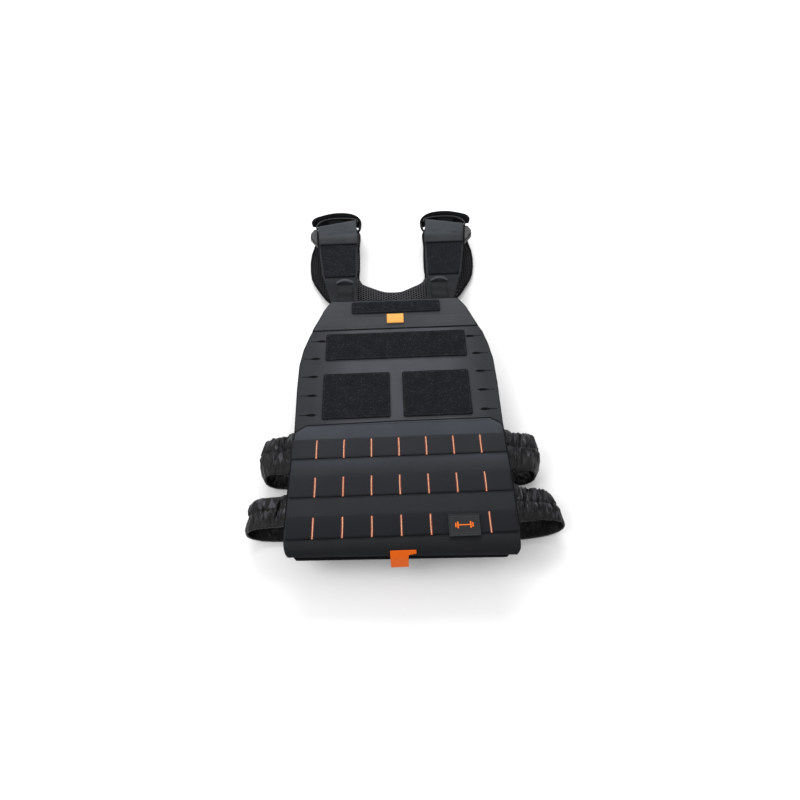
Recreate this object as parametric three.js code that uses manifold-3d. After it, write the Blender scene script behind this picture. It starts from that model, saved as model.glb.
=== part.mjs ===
// Weighted vest of the plate carrier kind, lying on its back with the front panel up.
// Millimetres. X runs across the chest, Y from the hem to the head, Z up from the floor.
// The model is laid out from the hem of the front panel and centred at the end.
import * as THREE from 'three';
import { mergeVertices } from 'three/addons/utils/BufferGeometryUtils.js';
import Module from 'manifold-3d';

const wasm = await Module();
wasm.setup();

// Panels
const PANEL_HALF_WIDTH = 151;
const PANEL_HEIGHT = 428;
const FRONT_THICKNESS = 22;
const BACK_THICKNESS = 20;
const TORSO_GAP = 14;
const BACK_HALF_WIDTH = 144;
const BACK_HEIGHT = 418;
const BACK_SHIFT = 22;
const PANEL_EDGE_RADIUS = 9;
const BAG_HEM = 2;
const BAG_HEM_SKEW = 5;
const SEAM_GAP = 0.3;

// Layers on the front panel
const FACE_SHEET = 1.6;
const FACE_INSET = 1;
const CHEST_FLAP_HEIGHT = 61;
const CHEST_FLAP_THICKNESS = 3;
const HEMMED_EDGE = 2.5;
const HEMMED_RIM = 0.58;
const SLOT_LENGTH = 26;
const SLOT_HEIGHT = 5;
const SLOTS_PER_SIDE = 5;
const SLOT_SETBACK = 5.5;
const SLOT_LOWEST = 17.5;
const SLOT_HIGHEST = 21.5;

// Loop patches, hung one below the other from the head edge and the chest seam
const PILE = 1.8;
const PILE_CORNER = 2;
const TOP_PILE_WIDTH = 144;
const TOP_PILE_HEIGHT = 24;
const TOP_PILE_DROP = 5;
const TOP_PILE_SHIFT = 2;
const WIDE_PILE_WIDTH = 219;
const WIDE_PILE_HEIGHT = 51;
const WIDE_PILE_DROP = 9.5;
const SIDE_PILE_WIDTH = 100;
const SIDE_PILE_HEIGHT = 80;
const SIDE_PILE_DROP = 27.5;
const SIDE_PILE_APART = 19;
const SIDE_PILE_SHIFT = -1.5;

// Waist flap and its webbing
const FLAP_OVERHANG = 1;
const FLAP_BELOW_PILES = 9;
const FLAP_THICKNESS = 3.4;
const FLAP_CHAMFER = 17;
const FLAP_CHAMFER_DROP = 15;
const FLAP_TOP_SKEW = 3;
const FLAP_HEM_SKEW = 7;
const WEB_ROWS = 3;
const WEB_HEIGHT = 30;
const WEB_THICKNESS = 1.6;
const WEB_INSET = 3.5;
const WEB_BELOW_TOP = 27;
const WEB_ABOVE_HEM = 17.4;
const WEB_BULGE = 1.5;
const TACK_PITCH = 38.1;
const TACK_CELLS = 6;
const LABEL_WIDTH = 40.5;
const LABEL_HEIGHT = 30;
const LABEL_THICKNESS = 2;
const LABEL_RIM = 2;
const LABEL_ACROSS = 79.8;
const LABEL_DROP = 4.5;

// Pull tabs
const TAB_THICKNESS = 2;
const CHEST_TAB_LEFT = 13;
const CHEST_TAB_RIGHT = 14;
const CHEST_TAB_RISE = 9;
const CHEST_TAB_LENGTH = 19.5;
const CHEST_TAB_BOW = 1.6;
const HEM_TAB_LEFT = 16;
const HEM_TAB_RIGHT = 7;
const HEM_TAB_LIP = 17;
const HEM_TAB_LENGTH = 24;
const HEM_TAB_KICK = 4;

// Shoulder yoke
const SHOULDER_HALF = 148;
const SHOULDER_SHIFT = -3.2;
const SHOULDER_RISE = 246;
const RIGHT_LEAN = 3.5;
const RIGHT_SHORTER = 5;
const PAD_THICKNESS = 14;
const PAD_EDGE_RADIUS = 8;
const COLLAR_THICKNESS = 20;
const TIP_WALL = 4;
const TIP_LEAN = 3;

// Shoulder straps and their moulded parts
const STRAP_THICKNESS = 2.2;
const STRAP_SLANT = 7.5;
const STRAP_SAG = 7.5;
const STRAP_END_BOW = 1.6;
const STRAP_PILE = 1.5;
const STRAP_PILE_INSET = 3.2;
const RING_BAR = 5;
const RING_HEIGHT = 44;
const RING_BOW_HEIGHT = 13.8;
const RING_SIDES = 6;
const RING_CLEARANCE = 1.1;
const LATCH_DEPTH = 7;
const LATCH_BEVEL = 1.5;
const LOOP_HALF = 15;
const LOOP_THICKNESS = 2;
const LOOP_LENGTH = 30;
const STUB_HALF = 13;
const STUB_THICKNESS = 2;
const KEEPER_HALF = 15;
const KEEPER_WIDTH = 6;
const KEEPER_THICKNESS = 1.6;
const KEEPER_ARCH = 3.6;
const KEEPER_BOW = 4;

// Side bands
const BAND_THICKNESS = 2.6;
const BAND_TUCK = 21;
const BAND_STEP_OUT = 10;
const BAND_DIP = 6;
const BAND_RIPPLE = 1.7;
const BAND_RIPPLES = 14;
const BAND_FLOOR = 2.4;
const BAND_SEAM = 0.4;
const UPPER_BAND_OUT = 49;
const LOWER_BAND_OUT = 64;

const BAG_FLOOR = BACK_THICKNESS + TORSO_GAP;
const BAG_TOP = BAG_FLOOR + FRONT_THICKNESS;
const BAG_MIDDLE = (BAG_FLOOR + BAG_TOP) / 2;
const FACE_TOP = BAG_TOP + SEAM_GAP + FACE_SHEET;
const CHEST_SEAM = PANEL_HEIGHT - CHEST_FLAP_HEIGHT;
const CHEST_TOP = BAG_TOP + SEAM_GAP + CHEST_FLAP_THICKNESS;
const WIDE_PILE_MIDDLE = CHEST_SEAM - WIDE_PILE_DROP - WIDE_PILE_HEIGHT / 2;
const SIDE_PILE_MIDDLE = WIDE_PILE_MIDDLE - (WIDE_PILE_HEIGHT + SIDE_PILE_HEIGHT) / 2 - SIDE_PILE_DROP;
const FLAP_TOP = SIDE_PILE_MIDDLE - SIDE_PILE_HEIGHT / 2 - FLAP_BELOW_PILES;
const FLAP_HALF_WIDTH = PANEL_HALF_WIDTH + FLAP_OVERHANG;
const BAND_SEAT = BAG_TOP + SEAM_GAP + BAND_THICKNESS / 2;
const FLAP_MIDDLE = BAG_TOP + BAND_THICKNESS + 2 * SEAM_GAP + FLAP_THICKNESS / 2;
const FLAP_FACE = FLAP_MIDDLE + FLAP_THICKNESS / 2;
const WEB_TOP = FLAP_TOP - WEB_BELOW_TOP;
const WEB_PITCH = (WEB_TOP - WEB_ABOVE_HEM - WEB_HEIGHT) / (WEB_ROWS - 1);

// Plan of the panels: share of the height, then shares of the half width, left and right.
const PANEL_PLAN = [
  [0.00, 0.900, 0.870],
  [0.03, 0.965, 0.955],
  [0.08, 0.985, 0.985],
  [0.42, 0.993, 0.993],
  [0.60, 0.997, 0.997],
  [0.70, 0.992, 0.990],
  [0.77, 0.960, 0.960],
  [0.83, 0.908, 0.918],
  [0.87, 0.868, 0.865],
  [0.92, 0.805, 0.810],
  [0.96, 0.760, 0.765],
  [1.00, 0.690, 0.685],
];

// Gape of a slot from its outer to its inner end: share of the length, share of the height.
const SLOT_GAPE = [
  [0.00, 0.22],
  [0.35, 0.26],
  [0.60, 0.90],
  [0.80, 1.00],
  [1.00, 0.00],
];

// Plan of the waist flap: share of the height, then shares of the half width, left and right.
const FLAP_PLAN = [
  [0.00, 0.960, 0.945],
  [0.04, 0.985, 0.975],
  [0.10, 1.000, 0.985],
  [0.25, 1.000, 0.993],
  [0.60, 0.993, 0.987],
  [1.00, 0.975, 0.975],
];

// Hem of the waist flap: share of its length, height above the hem line and drop, shares of the bag.
const FLAP_HEM = [
  [0.000, -0.005, 0.30],
  [0.020, -0.001, 0.20],
  [0.040, 0.007, 0.08],
  [0.065, 0.016, 0.02],
  [0.090, 0.030, 0.00],
];

// Shoulder pad, tip to collar middle: outer x and y, inner x and y, shares of the half span and rise.
const PAD_PLAN = [
  [0.930, 0.985, 0.470, 0.985],
  [0.950, 0.915, 0.410, 0.920],
  [0.955, 0.841, 0.405, 0.841],
  [0.967, 0.785, 0.415, 0.772],
  [0.999, 0.683, 0.410, 0.667],
  [0.999, 0.541, 0.407, 0.553],
  [0.965, 0.415, 0.410, 0.475],
  [0.897, 0.333, 0.415, 0.415],
  [0.823, 0.252, 0.350, 0.340],
  [0.742, 0.163, 0.205, 0.285],
  [0.500, 0.020, 0.093, 0.255],
  [0.000, 0.000, 0.000, 0.250],
];

// Shoulder strap from its foot to the ring: share of the rise, share of the sag, outer and inner x.
const STRAP_PLAN = [
  [0.003, 0.00, 0.688, 0.384],
  [0.080, 0.44, 0.710, 0.395],
  [0.200, 0.83, 0.765, 0.410],
  [0.370, 1.00, 0.835, 0.412],
  [0.600, 0.75, 0.880, 0.414],
  [0.760, 0.45, 0.895, 0.415],
];
const STRAP_FOLD = { up: 0.835, outer: 0.904, inner: 0.430 };
const STRAP_END = { up: 0.654, outer: 0.884, inner: 0.405 };

// Bow of the ring, inner to outer end: share of the bar, share of the way up to the crown.
const RING_BOW = [
  [1.00, 0.35],
  [0.95, 0.66],
  [0.86, 0.84],
  [0.72, 0.96],
  [0.50, 1.00],
  [0.32, 0.96],
  [0.16, 0.83],
  [0.06, 0.62],
  [0.00, 0.32],
];

// Curled tip of the shoulder pad: x, y, foot height and top height, shares of span, rise and ring height.
const TIP_PLAN = [
  [0.992, 0.885, 0.80, 1.02],
  [0.965, 0.925, 0.62, 1.04],
  [0.850, 0.955, 0.40, 1.06],
  [0.682, 0.975, 0.325, 1.08],
  [0.465, 0.957, 0.40, 1.06],
  [0.368, 0.885, 0.62, 1.04],
  [0.388, 0.790, 0.85, 1.00],
];

// Place that the foot of the curled tip leans towards: shares of the half span and the rise.
const TIP_CENTRE = [0.7, 0.7];

// Outline of the release latch: shares of the half span and the rise.
const LATCH_PLAN = [
  [0.915, 0.830],
  [0.965, 0.825],
  [1.000, 0.780],
  [1.000, 0.735],
  [0.965, 0.700],
  [0.905, 0.655],
];

// Side bands: head and hem edge as shares of the flap's top, how far each edge draws in at the
// turn as shares of the width, sag of the upper run, then shares of the way out from head to hem.
const BANDS = [
  { name: 'side_band_upper_left', side: -1, out: UPPER_BAND_OUT, head: 0.942, hem: 0.616,
    headIn: 0.06, hemIn: 0.03, sag: 0.02, reach: [0.86, 0.97, 1.00, 0.96, 0.84] },
  { name: 'side_band_upper_right', side: 1, out: UPPER_BAND_OUT, head: 0.905, hem: 0.574,
    headIn: 0.06, hemIn: 0.03, sag: 0.02, reach: [0.90, 0.97, 0.98, 0.94, 0.80] },
  { name: 'side_band_lower_left', side: -1, out: LOWER_BAND_OUT, head: 0.442, hem: 0.200,
    headIn: 0.02, hemIn: 0.09, sag: 0.18, reach: [0.84, 0.92, 0.89, 0.96, 0.94] },
  { name: 'side_band_lower_right', side: 1, out: LOWER_BAND_OUT, head: 0.463, hem: 0.147,
    headIn: 0.12, hemIn: 0.22, sag: 0.26, reach: [0.78, 0.91, 0.98, 1.03, 1.08] },
];

// Band on its way out from under the flap: shares of the step out and of the dip.
const BAND_LEAVE = [
  [0.0, 0.08],
  [0.5, 0.45],
];

// Path of a band: share of the way out, share of the way down.
const BAND_PATH = [
  [0.00, 0.00],
  [0.30, 0.02],
  [0.62, 0.05],
  [0.85, 0.16],
  [0.97, 0.36],
  [1.00, 0.55],
  [0.95, 0.76],
  [0.78, 0.93],
  [0.50, 1.00],
  [0.20, 0.995],
  [0.00, 0.955],
];

const matt = (colour, roughness = 0.9) =>
  new THREE.MeshStandardMaterial({ color: colour, roughness, metalness: 0 });
const NYLON = matt(0x4c4d50);
const FLAP_CLOTH = matt(0x3d4044);
const WEBBING = matt(0x33353a);
const LOOP_PILE = matt(0x26272b, 1);
const MESH_LINING = matt(0x303032, 0.95);
const GATHERED = matt(0x2b2c30, 0.8);
const STRAP_CLOTH = matt(0x474b4e);
const ORANGE = matt(0xe8862f, 0.7);
const MOULDED = matt(0x1c1d1f, 0.5);
const RUBBER = matt(0x202124, 0.6);

const vest = new THREE.Group();

function add(name, geometry, material) {
  const mesh = new THREE.Mesh(geometry, material);
  mesh.name = name;
  vest.add(mesh);
  return mesh;
}

// Reads column `column` of a table at `at` in its first column.
function read(table, at, column) {
  let k = 1;
  while (k < table.length - 1 && table[k][0] < at) k += 1;
  const [a, b] = [table[k - 1], table[k]];
  const share = THREE.MathUtils.clamp((at - a[0]) / (b[0] - a[0]), 0, 1);
  return THREE.MathUtils.lerp(a[column], b[column], share);
}

// Even steps from `from` to `to`, with extra stations just inside both ends for a rounded edge.
function stations(from, to, steps, edge = []) {
  const inner = Array.from({ length: steps + 1 }, (_, k) => from + ((to - from) * k) / steps);
  const near = edge.map((share) => from + (to - from) * share);
  const far = edge.map((share) => to - (to - from) * share);
  return [...inner, ...near, ...far].sort((a, b) => a - b);
}

// Rounds a padded edge: share of the full thickness at a distance from the border.
function edgeFall(distance, radius, rim = 0.35) {
  const t = THREE.MathUtils.clamp(distance / radius, 0, 1);
  return rim + (1 - rim) * Math.sqrt(1 - (1 - t) ** 2);
}

// A closed body around a middle surface. `middle` gives a point for u and v, and `half`
// gives the distance to the two faces, as one number or as a pair (over, under).
function slab(us, vs, middle, half) {
  const step = 1e-3;
  const over = [];
  const under = [];
  for (const v of vs) {
    for (const u of us) {
      const here = middle(u, v);
      const alongU = middle(u + step, v).sub(middle(u - step, v));
      const alongV = middle(u, v + step).sub(middle(u, v - step));
      const normal = alongU.cross(alongV).normalize();
      const reach = [half(u, v)].flat();
      over.push(here.clone().addScaledVector(normal, reach[0]));
      under.push(here.clone().addScaledVector(normal, -(reach[1] ?? reach[0])));
    }
  }
  const columns = us.length;
  const rows = vs.length;
  const count = over.length;
  const index = [];
  const quad = (a, b, c, d) => index.push(a, b, c, a, c, d);
  for (let j = 0; j < rows - 1; j += 1) {
    for (let i = 0; i < columns - 1; i += 1) {
      const a = j * columns + i;
      quad(a, a + 1, a + columns + 1, a + columns);
      quad(count + a + columns, count + a + columns + 1, count + a + 1, count + a);
    }
  }
  const wall = (a, b) => quad(b, a, count + a, count + b);
  for (let i = 0; i < columns - 1; i += 1) {
    const top = (rows - 1) * columns + i;
    wall(i, i + 1);
    wall(top + 1, top);
  }
  for (let j = 0; j < rows - 1; j += 1) {
    const right = j * columns + columns - 1;
    wall(right, right + columns);
    wall((j + 1) * columns, j * columns);
  }
  const geometry = new THREE.BufferGeometry();
  geometry.setFromPoints([...over, ...under]);
  geometry.setIndex(index);
  return facingOut(geometry);
}

// Turns the faces round where the enclosed volume comes out negative.
function facingOut(geometry) {
  const at = geometry.getAttribute('position');
  const index = Array.from(geometry.index.array);
  const corner = (k) => new THREE.Vector3().fromBufferAttribute(at, index[k]);
  let volume = 0;
  for (let k = 0; k < index.length; k += 3) {
    volume += corner(k).dot(corner(k + 1).cross(corner(k + 2)));
  }
  if (volume < 0) {
    for (let k = 0; k < index.length; k += 3) {
      [index[k + 1], index[k + 2]] = [index[k + 2], index[k + 1]];
    }
    geometry.setIndex(index);
  }
  geometry.computeVertexNormals();
  return geometry;
}

// The closed solid of a geometry, its vertices merged by place alone.
function solid(geometry) {
  const plain = new THREE.BufferGeometry();
  plain.setAttribute('position', geometry.getAttribute('position'));
  if (geometry.index) plain.setIndex(geometry.index);
  const merged = mergeVertices(plain, 1e-4);
  return new wasm.Manifold(new wasm.Mesh({
    numProp: 3,
    vertProperties: Float32Array.from(merged.getAttribute('position').array),
    triVerts: Uint32Array.from(merged.index.array),
  }));
}

// Cuts the tools out of a body.
function cut(body, tools) {
  let left = solid(body);
  for (const tool of tools) left = left.subtract(solid(tool));
  const mesh = left.getMesh();
  const geometry = new THREE.BufferGeometry();
  geometry.setAttribute('position', new THREE.BufferAttribute(mesh.vertProperties, mesh.numProp));
  geometry.setIndex(new THREE.BufferAttribute(mesh.triVerts, 1));
  geometry.computeVertexNormals();
  return geometry;
}

// A flat patch with clipped corners, its underside at zero and its middle on the origin.
function patch(width, height, thickness, corner) {
  const [w, h] = [width / 2, height / 2];
  const outline = new THREE.Shape([
    new THREE.Vector2(-w + corner, -h),
    new THREE.Vector2(w - corner, -h),
    new THREE.Vector2(w, -h + corner),
    new THREE.Vector2(w, h - corner),
    new THREE.Vector2(w - corner, h),
    new THREE.Vector2(-w + corner, h),
    new THREE.Vector2(-w, h - corner),
    new THREE.Vector2(-w, -h + corner),
  ]);
  return new THREE.ExtrudeGeometry(outline, { depth: thickness, bevelEnabled: false });
}

const sideColumn = (u) => (u < 0 ? 1 : 2);

// Padded bags
function bag(halfWidth, height, shift, middle, thickness, skew) {
  const us = stations(-1, 1, 8, [0.008, 0.028]);
  const vs = stations(0, 1, 10, [0.006, 0.02, 0.04]);
  const half = (v, u) => halfWidth * read(PANEL_PLAN, v, sideColumn(u));
  return slab(
    us,
    vs,
    (u, v) => new THREE.Vector3(
      u * half(v, u),
      shift + v * height - ((skew * (u + 1)) / 2) * (1 - v),
      middle,
    ),
    (u, v) => {
      const side = (1 - Math.abs(u)) * half(v, u);
      const border = Math.min(side, v * height, (1 - v) * height);
      return (thickness / 2) * edgeFall(border, PANEL_EDGE_RADIUS);
    },
  );
}

add(
  'front_panel',
  bag(PANEL_HALF_WIDTH, PANEL_HEIGHT + BAG_HEM, -BAG_HEM, BAG_MIDDLE, FRONT_THICKNESS, BAG_HEM_SKEW),
  NYLON,
);
add(
  'back_panel',
  bag(BACK_HALF_WIDTH, BACK_HEIGHT, BACK_SHIFT, BACK_THICKNESS / 2, BACK_THICKNESS, 0),
  NYLON,
);

const panelEdge = (y, side) =>
  side * PANEL_HALF_WIDTH * read(PANEL_PLAN, y / PANEL_HEIGHT, sideColumn(side));

// Cutter for one slot: a fine cut at its outer end that gapes towards its inner end.
function slot(side) {
  const edge = (sign) => SLOT_GAPE.map(([along, gape]) =>
    new THREE.Vector2(-side * along * SLOT_LENGTH, (sign * gape * SLOT_HEIGHT) / 2));
  const outline = new THREE.Shape([...edge(-1), ...edge(1).reverse().slice(1)]);
  return new THREE.ExtrudeGeometry(outline, { depth: 3 * FACE_SHEET, bevelEnabled: false });
}

// Face sheet with its cut slots, from under the waist flap up to the chest seam.
function slottedSheet() {
  const bottom = FLAP_TOP * Math.max(...BANDS.map((band) => band.head)) + HEMMED_EDGE;
  const top = CHEST_SEAM - 2 * SEAM_GAP;
  const rows = PANEL_PLAN.map((row) => row[0] * PANEL_HEIGHT).filter((y) => y > bottom && y < top);
  const edge = (y, side) => new THREE.Vector2(panelEdge(y, side) - side * FACE_INSET, y);
  const right = [bottom, ...rows, top].map((y) => edge(y, 1));
  const left = [top, ...rows.reverse(), bottom].map((y) => edge(y, -1));
  const lowest = FLAP_TOP + SLOT_LOWEST;
  const highest = CHEST_SEAM - SLOT_HIGHEST;
  const slots = [];
  for (const y of stations(lowest, highest, SLOTS_PER_SIDE - 1)) {
    for (const side of [-1, 1]) {
      const outer = panelEdge(y, side) - side * SLOT_SETBACK;
      slots.push(slot(side).translate(outer, y, -FACE_SHEET));
    }
  }
  const sheet = new THREE.Shape([...right, ...left]);
  const geometry = new THREE.ExtrudeGeometry(sheet, { depth: FACE_SHEET, bevelEnabled: false });
  return cut(geometry, slots).translate(0, 0, BAG_TOP + SEAM_GAP);
}
add('slotted_sheet', slottedSheet(), NYLON);

// Chest flap over the top of the bag, its lower seam just above the face sheet.
function chestFlap() {
  const edge = (v, u) => {
    const wide = panelEdge(CHEST_SEAM + v * CHEST_FLAP_HEIGHT, Math.sign(u) || 1);
    return Math.abs(wide) - FACE_INSET * (1 - v);
  };
  return slab(
    stations(-1, 1, 6, [0.01]),
    stations(0, 1, 6, [0.03]),
    (u, v) => new THREE.Vector3(
      u * edge(v, u),
      CHEST_SEAM + v * CHEST_FLAP_HEIGHT,
      CHEST_TOP - CHEST_FLAP_THICKNESS / 2,
    ),
    (u, v) => {
      const border = Math.min((1 - Math.abs(u)) * edge(v, u), Math.min(v, 1 - v) * CHEST_FLAP_HEIGHT);
      const rim = edgeFall(border, HEMMED_EDGE, HEMMED_RIM);
      return [(CHEST_FLAP_THICKNESS / 2) * rim, CHEST_FLAP_THICKNESS / 2];
    },
  );
}
add('chest_flap', chestFlap(), NYLON);

// Loop patches
const sidePileAcross = (SIDE_PILE_APART + SIDE_PILE_WIDTH) / 2;
const PILES = [
  { name: 'pile_top', x: TOP_PILE_SHIFT, y: PANEL_HEIGHT - TOP_PILE_DROP - TOP_PILE_HEIGHT / 2,
    width: TOP_PILE_WIDTH, height: TOP_PILE_HEIGHT, seat: CHEST_TOP },
  { name: 'pile_wide', x: 0, y: WIDE_PILE_MIDDLE,
    width: WIDE_PILE_WIDTH, height: WIDE_PILE_HEIGHT, seat: FACE_TOP },
  { name: 'pile_left', x: SIDE_PILE_SHIFT - sidePileAcross, y: SIDE_PILE_MIDDLE,
    width: SIDE_PILE_WIDTH, height: SIDE_PILE_HEIGHT, seat: FACE_TOP },
  { name: 'pile_right', x: SIDE_PILE_SHIFT + sidePileAcross, y: SIDE_PILE_MIDDLE,
    width: SIDE_PILE_WIDTH, height: SIDE_PILE_HEIGHT, seat: FACE_TOP },
];
for (const pile of PILES) {
  const mesh = add(pile.name, patch(pile.width, pile.height, PILE, PILE_CORNER), LOOP_PILE);
  mesh.position.set(pile.x, pile.y, pile.seat + SEAM_GAP);
}

// Waist flap: chamfered upper corners, a hem that turns down over the bottom of the bag.
const [hemShare, hemRise] = FLAP_HEM.at(-1);
function flapPoint(u, v) {
  const x = u * FLAP_HALF_WIDTH * read(FLAP_PLAN, v, sideColumn(u));
  const corner = Math.max(0, Math.abs(x) - (FLAP_HALF_WIDTH - FLAP_CHAMFER)) / FLAP_CHAMFER;
  const left = Math.max(0, -x) / FLAP_HALF_WIDTH;
  const top = FLAP_TOP - corner * FLAP_CHAMFER_DROP - left * FLAP_TOP_SKEW;
  const skew = ((FLAP_HEM_SKEW * (u + 1)) / 2) * Math.max(0, 1 - v);
  if (v < hemShare) {
    const y = read(FLAP_HEM, v, 1) * PANEL_HEIGHT - skew;
    return new THREE.Vector3(x, y, FLAP_MIDDLE - read(FLAP_HEM, v, 2) * FRONT_THICKNESS);
  }
  const y = THREE.MathUtils.lerp(hemRise * PANEL_HEIGHT, top, (v - hemShare) / (1 - hemShare));
  return new THREE.Vector3(x, y - skew, FLAP_MIDDLE);
}
add(
  'waist_flap',
  slab(
    stations(-1, 1, 10, [0.01, FLAP_CHAMFER / (2 * FLAP_HALF_WIDTH)]),
    [...FLAP_HEM.map((row) => row[0]), 0.2, 0.35, 0.5, 0.65, 0.8, 0.92, 0.985, 1],
    flapPoint,
    (u, v) => {
      const side = (1 - Math.abs(u)) * FLAP_HALF_WIDTH;
      const border = Math.min(side, Math.min(v, 1 - v) * FLAP_TOP);
      const rim = edgeFall(border, HEMMED_EDGE, HEMMED_RIM);
      return [(FLAP_THICKNESS / 2) * rim, FLAP_THICKNESS / 2];
    },
  ),
  FLAP_CLOTH,
);

// Webbing rows: flat at every bar tack and raised between them, flat too under the label.
const rowMiddle = (row) => WEB_TOP - row * WEB_PITCH - WEB_HEIGHT / 2;
const labelledRow = WEB_ROWS - 1;
function webRow(row) {
  const half = FLAP_HALF_WIDTH - WEB_INSET;
  const span = (TACK_CELLS * TACK_PITCH) / 2;
  const underLabel = LABEL_WIDTH / 2 + TACK_PITCH / 4;
  const lift = (x) => {
    const flat = row === labelledRow && Math.abs(x - LABEL_ACROSS) < underLabel;
    return flat ? 0 : WEB_BULGE * Math.abs(Math.sin((Math.PI * (x + span)) / TACK_PITCH)) ** 0.7;
  };
  return slab(
    stations(-half, half, 4 * TACK_CELLS),
    stations(0, 1, 1, [0.12]),
    (x, v) => new THREE.Vector3(x, (v - 0.5) * WEB_HEIGHT, 0),
    (x, v) => {
      const edge = v === 0 || v === 1 ? 0.25 : 1;
      return [WEB_THICKNESS / 2 + lift(x) * edge, WEB_THICKNESS / 2];
    },
  );
}
for (let row = 0; row < WEB_ROWS; row += 1) {
  const mesh = add(`web_row_${row + 1}`, webRow(row), WEBBING);
  mesh.position.set(0, rowMiddle(row), FLAP_FACE + SEAM_GAP + WEB_THICKNESS / 2);
}

// Rubber label with a raised rim, seated on the lowest row.
function label() {
  const across = stations(-1, 1, 1, [0.015, LABEL_RIM / LABEL_WIDTH]);
  const up = stations(-1, 1, 1, [0.02, LABEL_RIM / LABEL_HEIGHT]);
  const rimmed = (share, size) => (1 - Math.abs(share)) * size < 2 * LABEL_RIM - SEAM_GAP;
  return slab(
    across,
    up,
    (u, v) => new THREE.Vector3((u * LABEL_WIDTH) / 2, (v * LABEL_HEIGHT) / 2, 0),
    (u, v) => {
      const worn = Math.abs(u) === 1 || Math.abs(v) === 1 ? 0.7 : 1;
      const rim = rimmed(u, LABEL_WIDTH) || rimmed(v, LABEL_HEIGHT);
      return [(LABEL_THICKNESS / 2) * (rim ? worn : 0.6), LABEL_THICKNESS / 2];
    },
  );
}
add('label_patch', label(), RUBBER).position.set(
  LABEL_ACROSS,
  rowMiddle(labelledRow) - LABEL_DROP,
  FLAP_FACE + 2 * SEAM_GAP + WEB_THICKNESS + LABEL_THICKNESS / 2,
);

// A ribbon along points in the plane across the chest; `width` gives its reach to both sides.
function ribbon(points, width, thickness, steps) {
  const path = new THREE.CatmullRomCurve3(points.map(([y, z]) => new THREE.Vector3(0, y, z)));
  return slab(
    [-1, 0, 1],
    stations(0, 1, steps),
    (u, v) => {
      const inside = THREE.MathUtils.clamp(v, 0, 1);
      const at = path.getPoint(inside);
      at.addScaledVector(path.getTangent(inside), (v - inside) * path.getLength());
      const [left, right] = width(v);
      return at.setX(u < 0 ? u * left : u * right);
    },
    () => thickness / 2,
  );
}

// Orange pull tabs
const chestTab = [
  [CHEST_TAB_LENGTH, 0],
  [CHEST_TAB_LENGTH / 2, CHEST_TAB_BOW],
  [0, CHEST_TAB_BOW / 2],
];
add('chest_tab', ribbon(chestTab, () => [CHEST_TAB_LEFT, CHEST_TAB_RIGHT], TAB_THICKNESS, 5), ORANGE)
  .position.set(0, CHEST_SEAM + CHEST_TAB_RISE, CHEST_TOP + SEAM_GAP + TAB_THICKNESS / 2);

// Place just off the outside of the waist flap near its hem, in the plane across the chest.
function overHem(v) {
  const here = flapPoint(0, v);
  const along = flapPoint(0, v + 0.01).sub(here);
  const off = FLAP_THICKNESS / 2 + SEAM_GAP + TAB_THICKNESS / 2;
  const out = new THREE.Vector2(-along.z, along.y).normalize().multiplyScalar(off);
  return [here.y + out.x, here.z + out.y];
}
const [tabTurnY, tabTurnZ] = overHem(0);
const hemTab = [
  ...[0.04, 0.02, 0].map(overHem),
  [tabTurnY - 0.40 * HEM_TAB_KICK, tabTurnZ - 0.26 * HEM_TAB_LENGTH],
  [tabTurnY - 0.75 * HEM_TAB_KICK, tabTurnZ - 0.64 * HEM_TAB_LENGTH],
  [tabTurnY - HEM_TAB_KICK, tabTurnZ - HEM_TAB_LENGTH],
];
const hemTabWidth = (v) => [HEM_TAB_LEFT, v < 0.2 ? HEM_TAB_LIP : HEM_TAB_RIGHT];
add('hem_tab', ribbon(hemTab, hemTabWidth, TAB_THICKNESS, 12), ORANGE);

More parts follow.
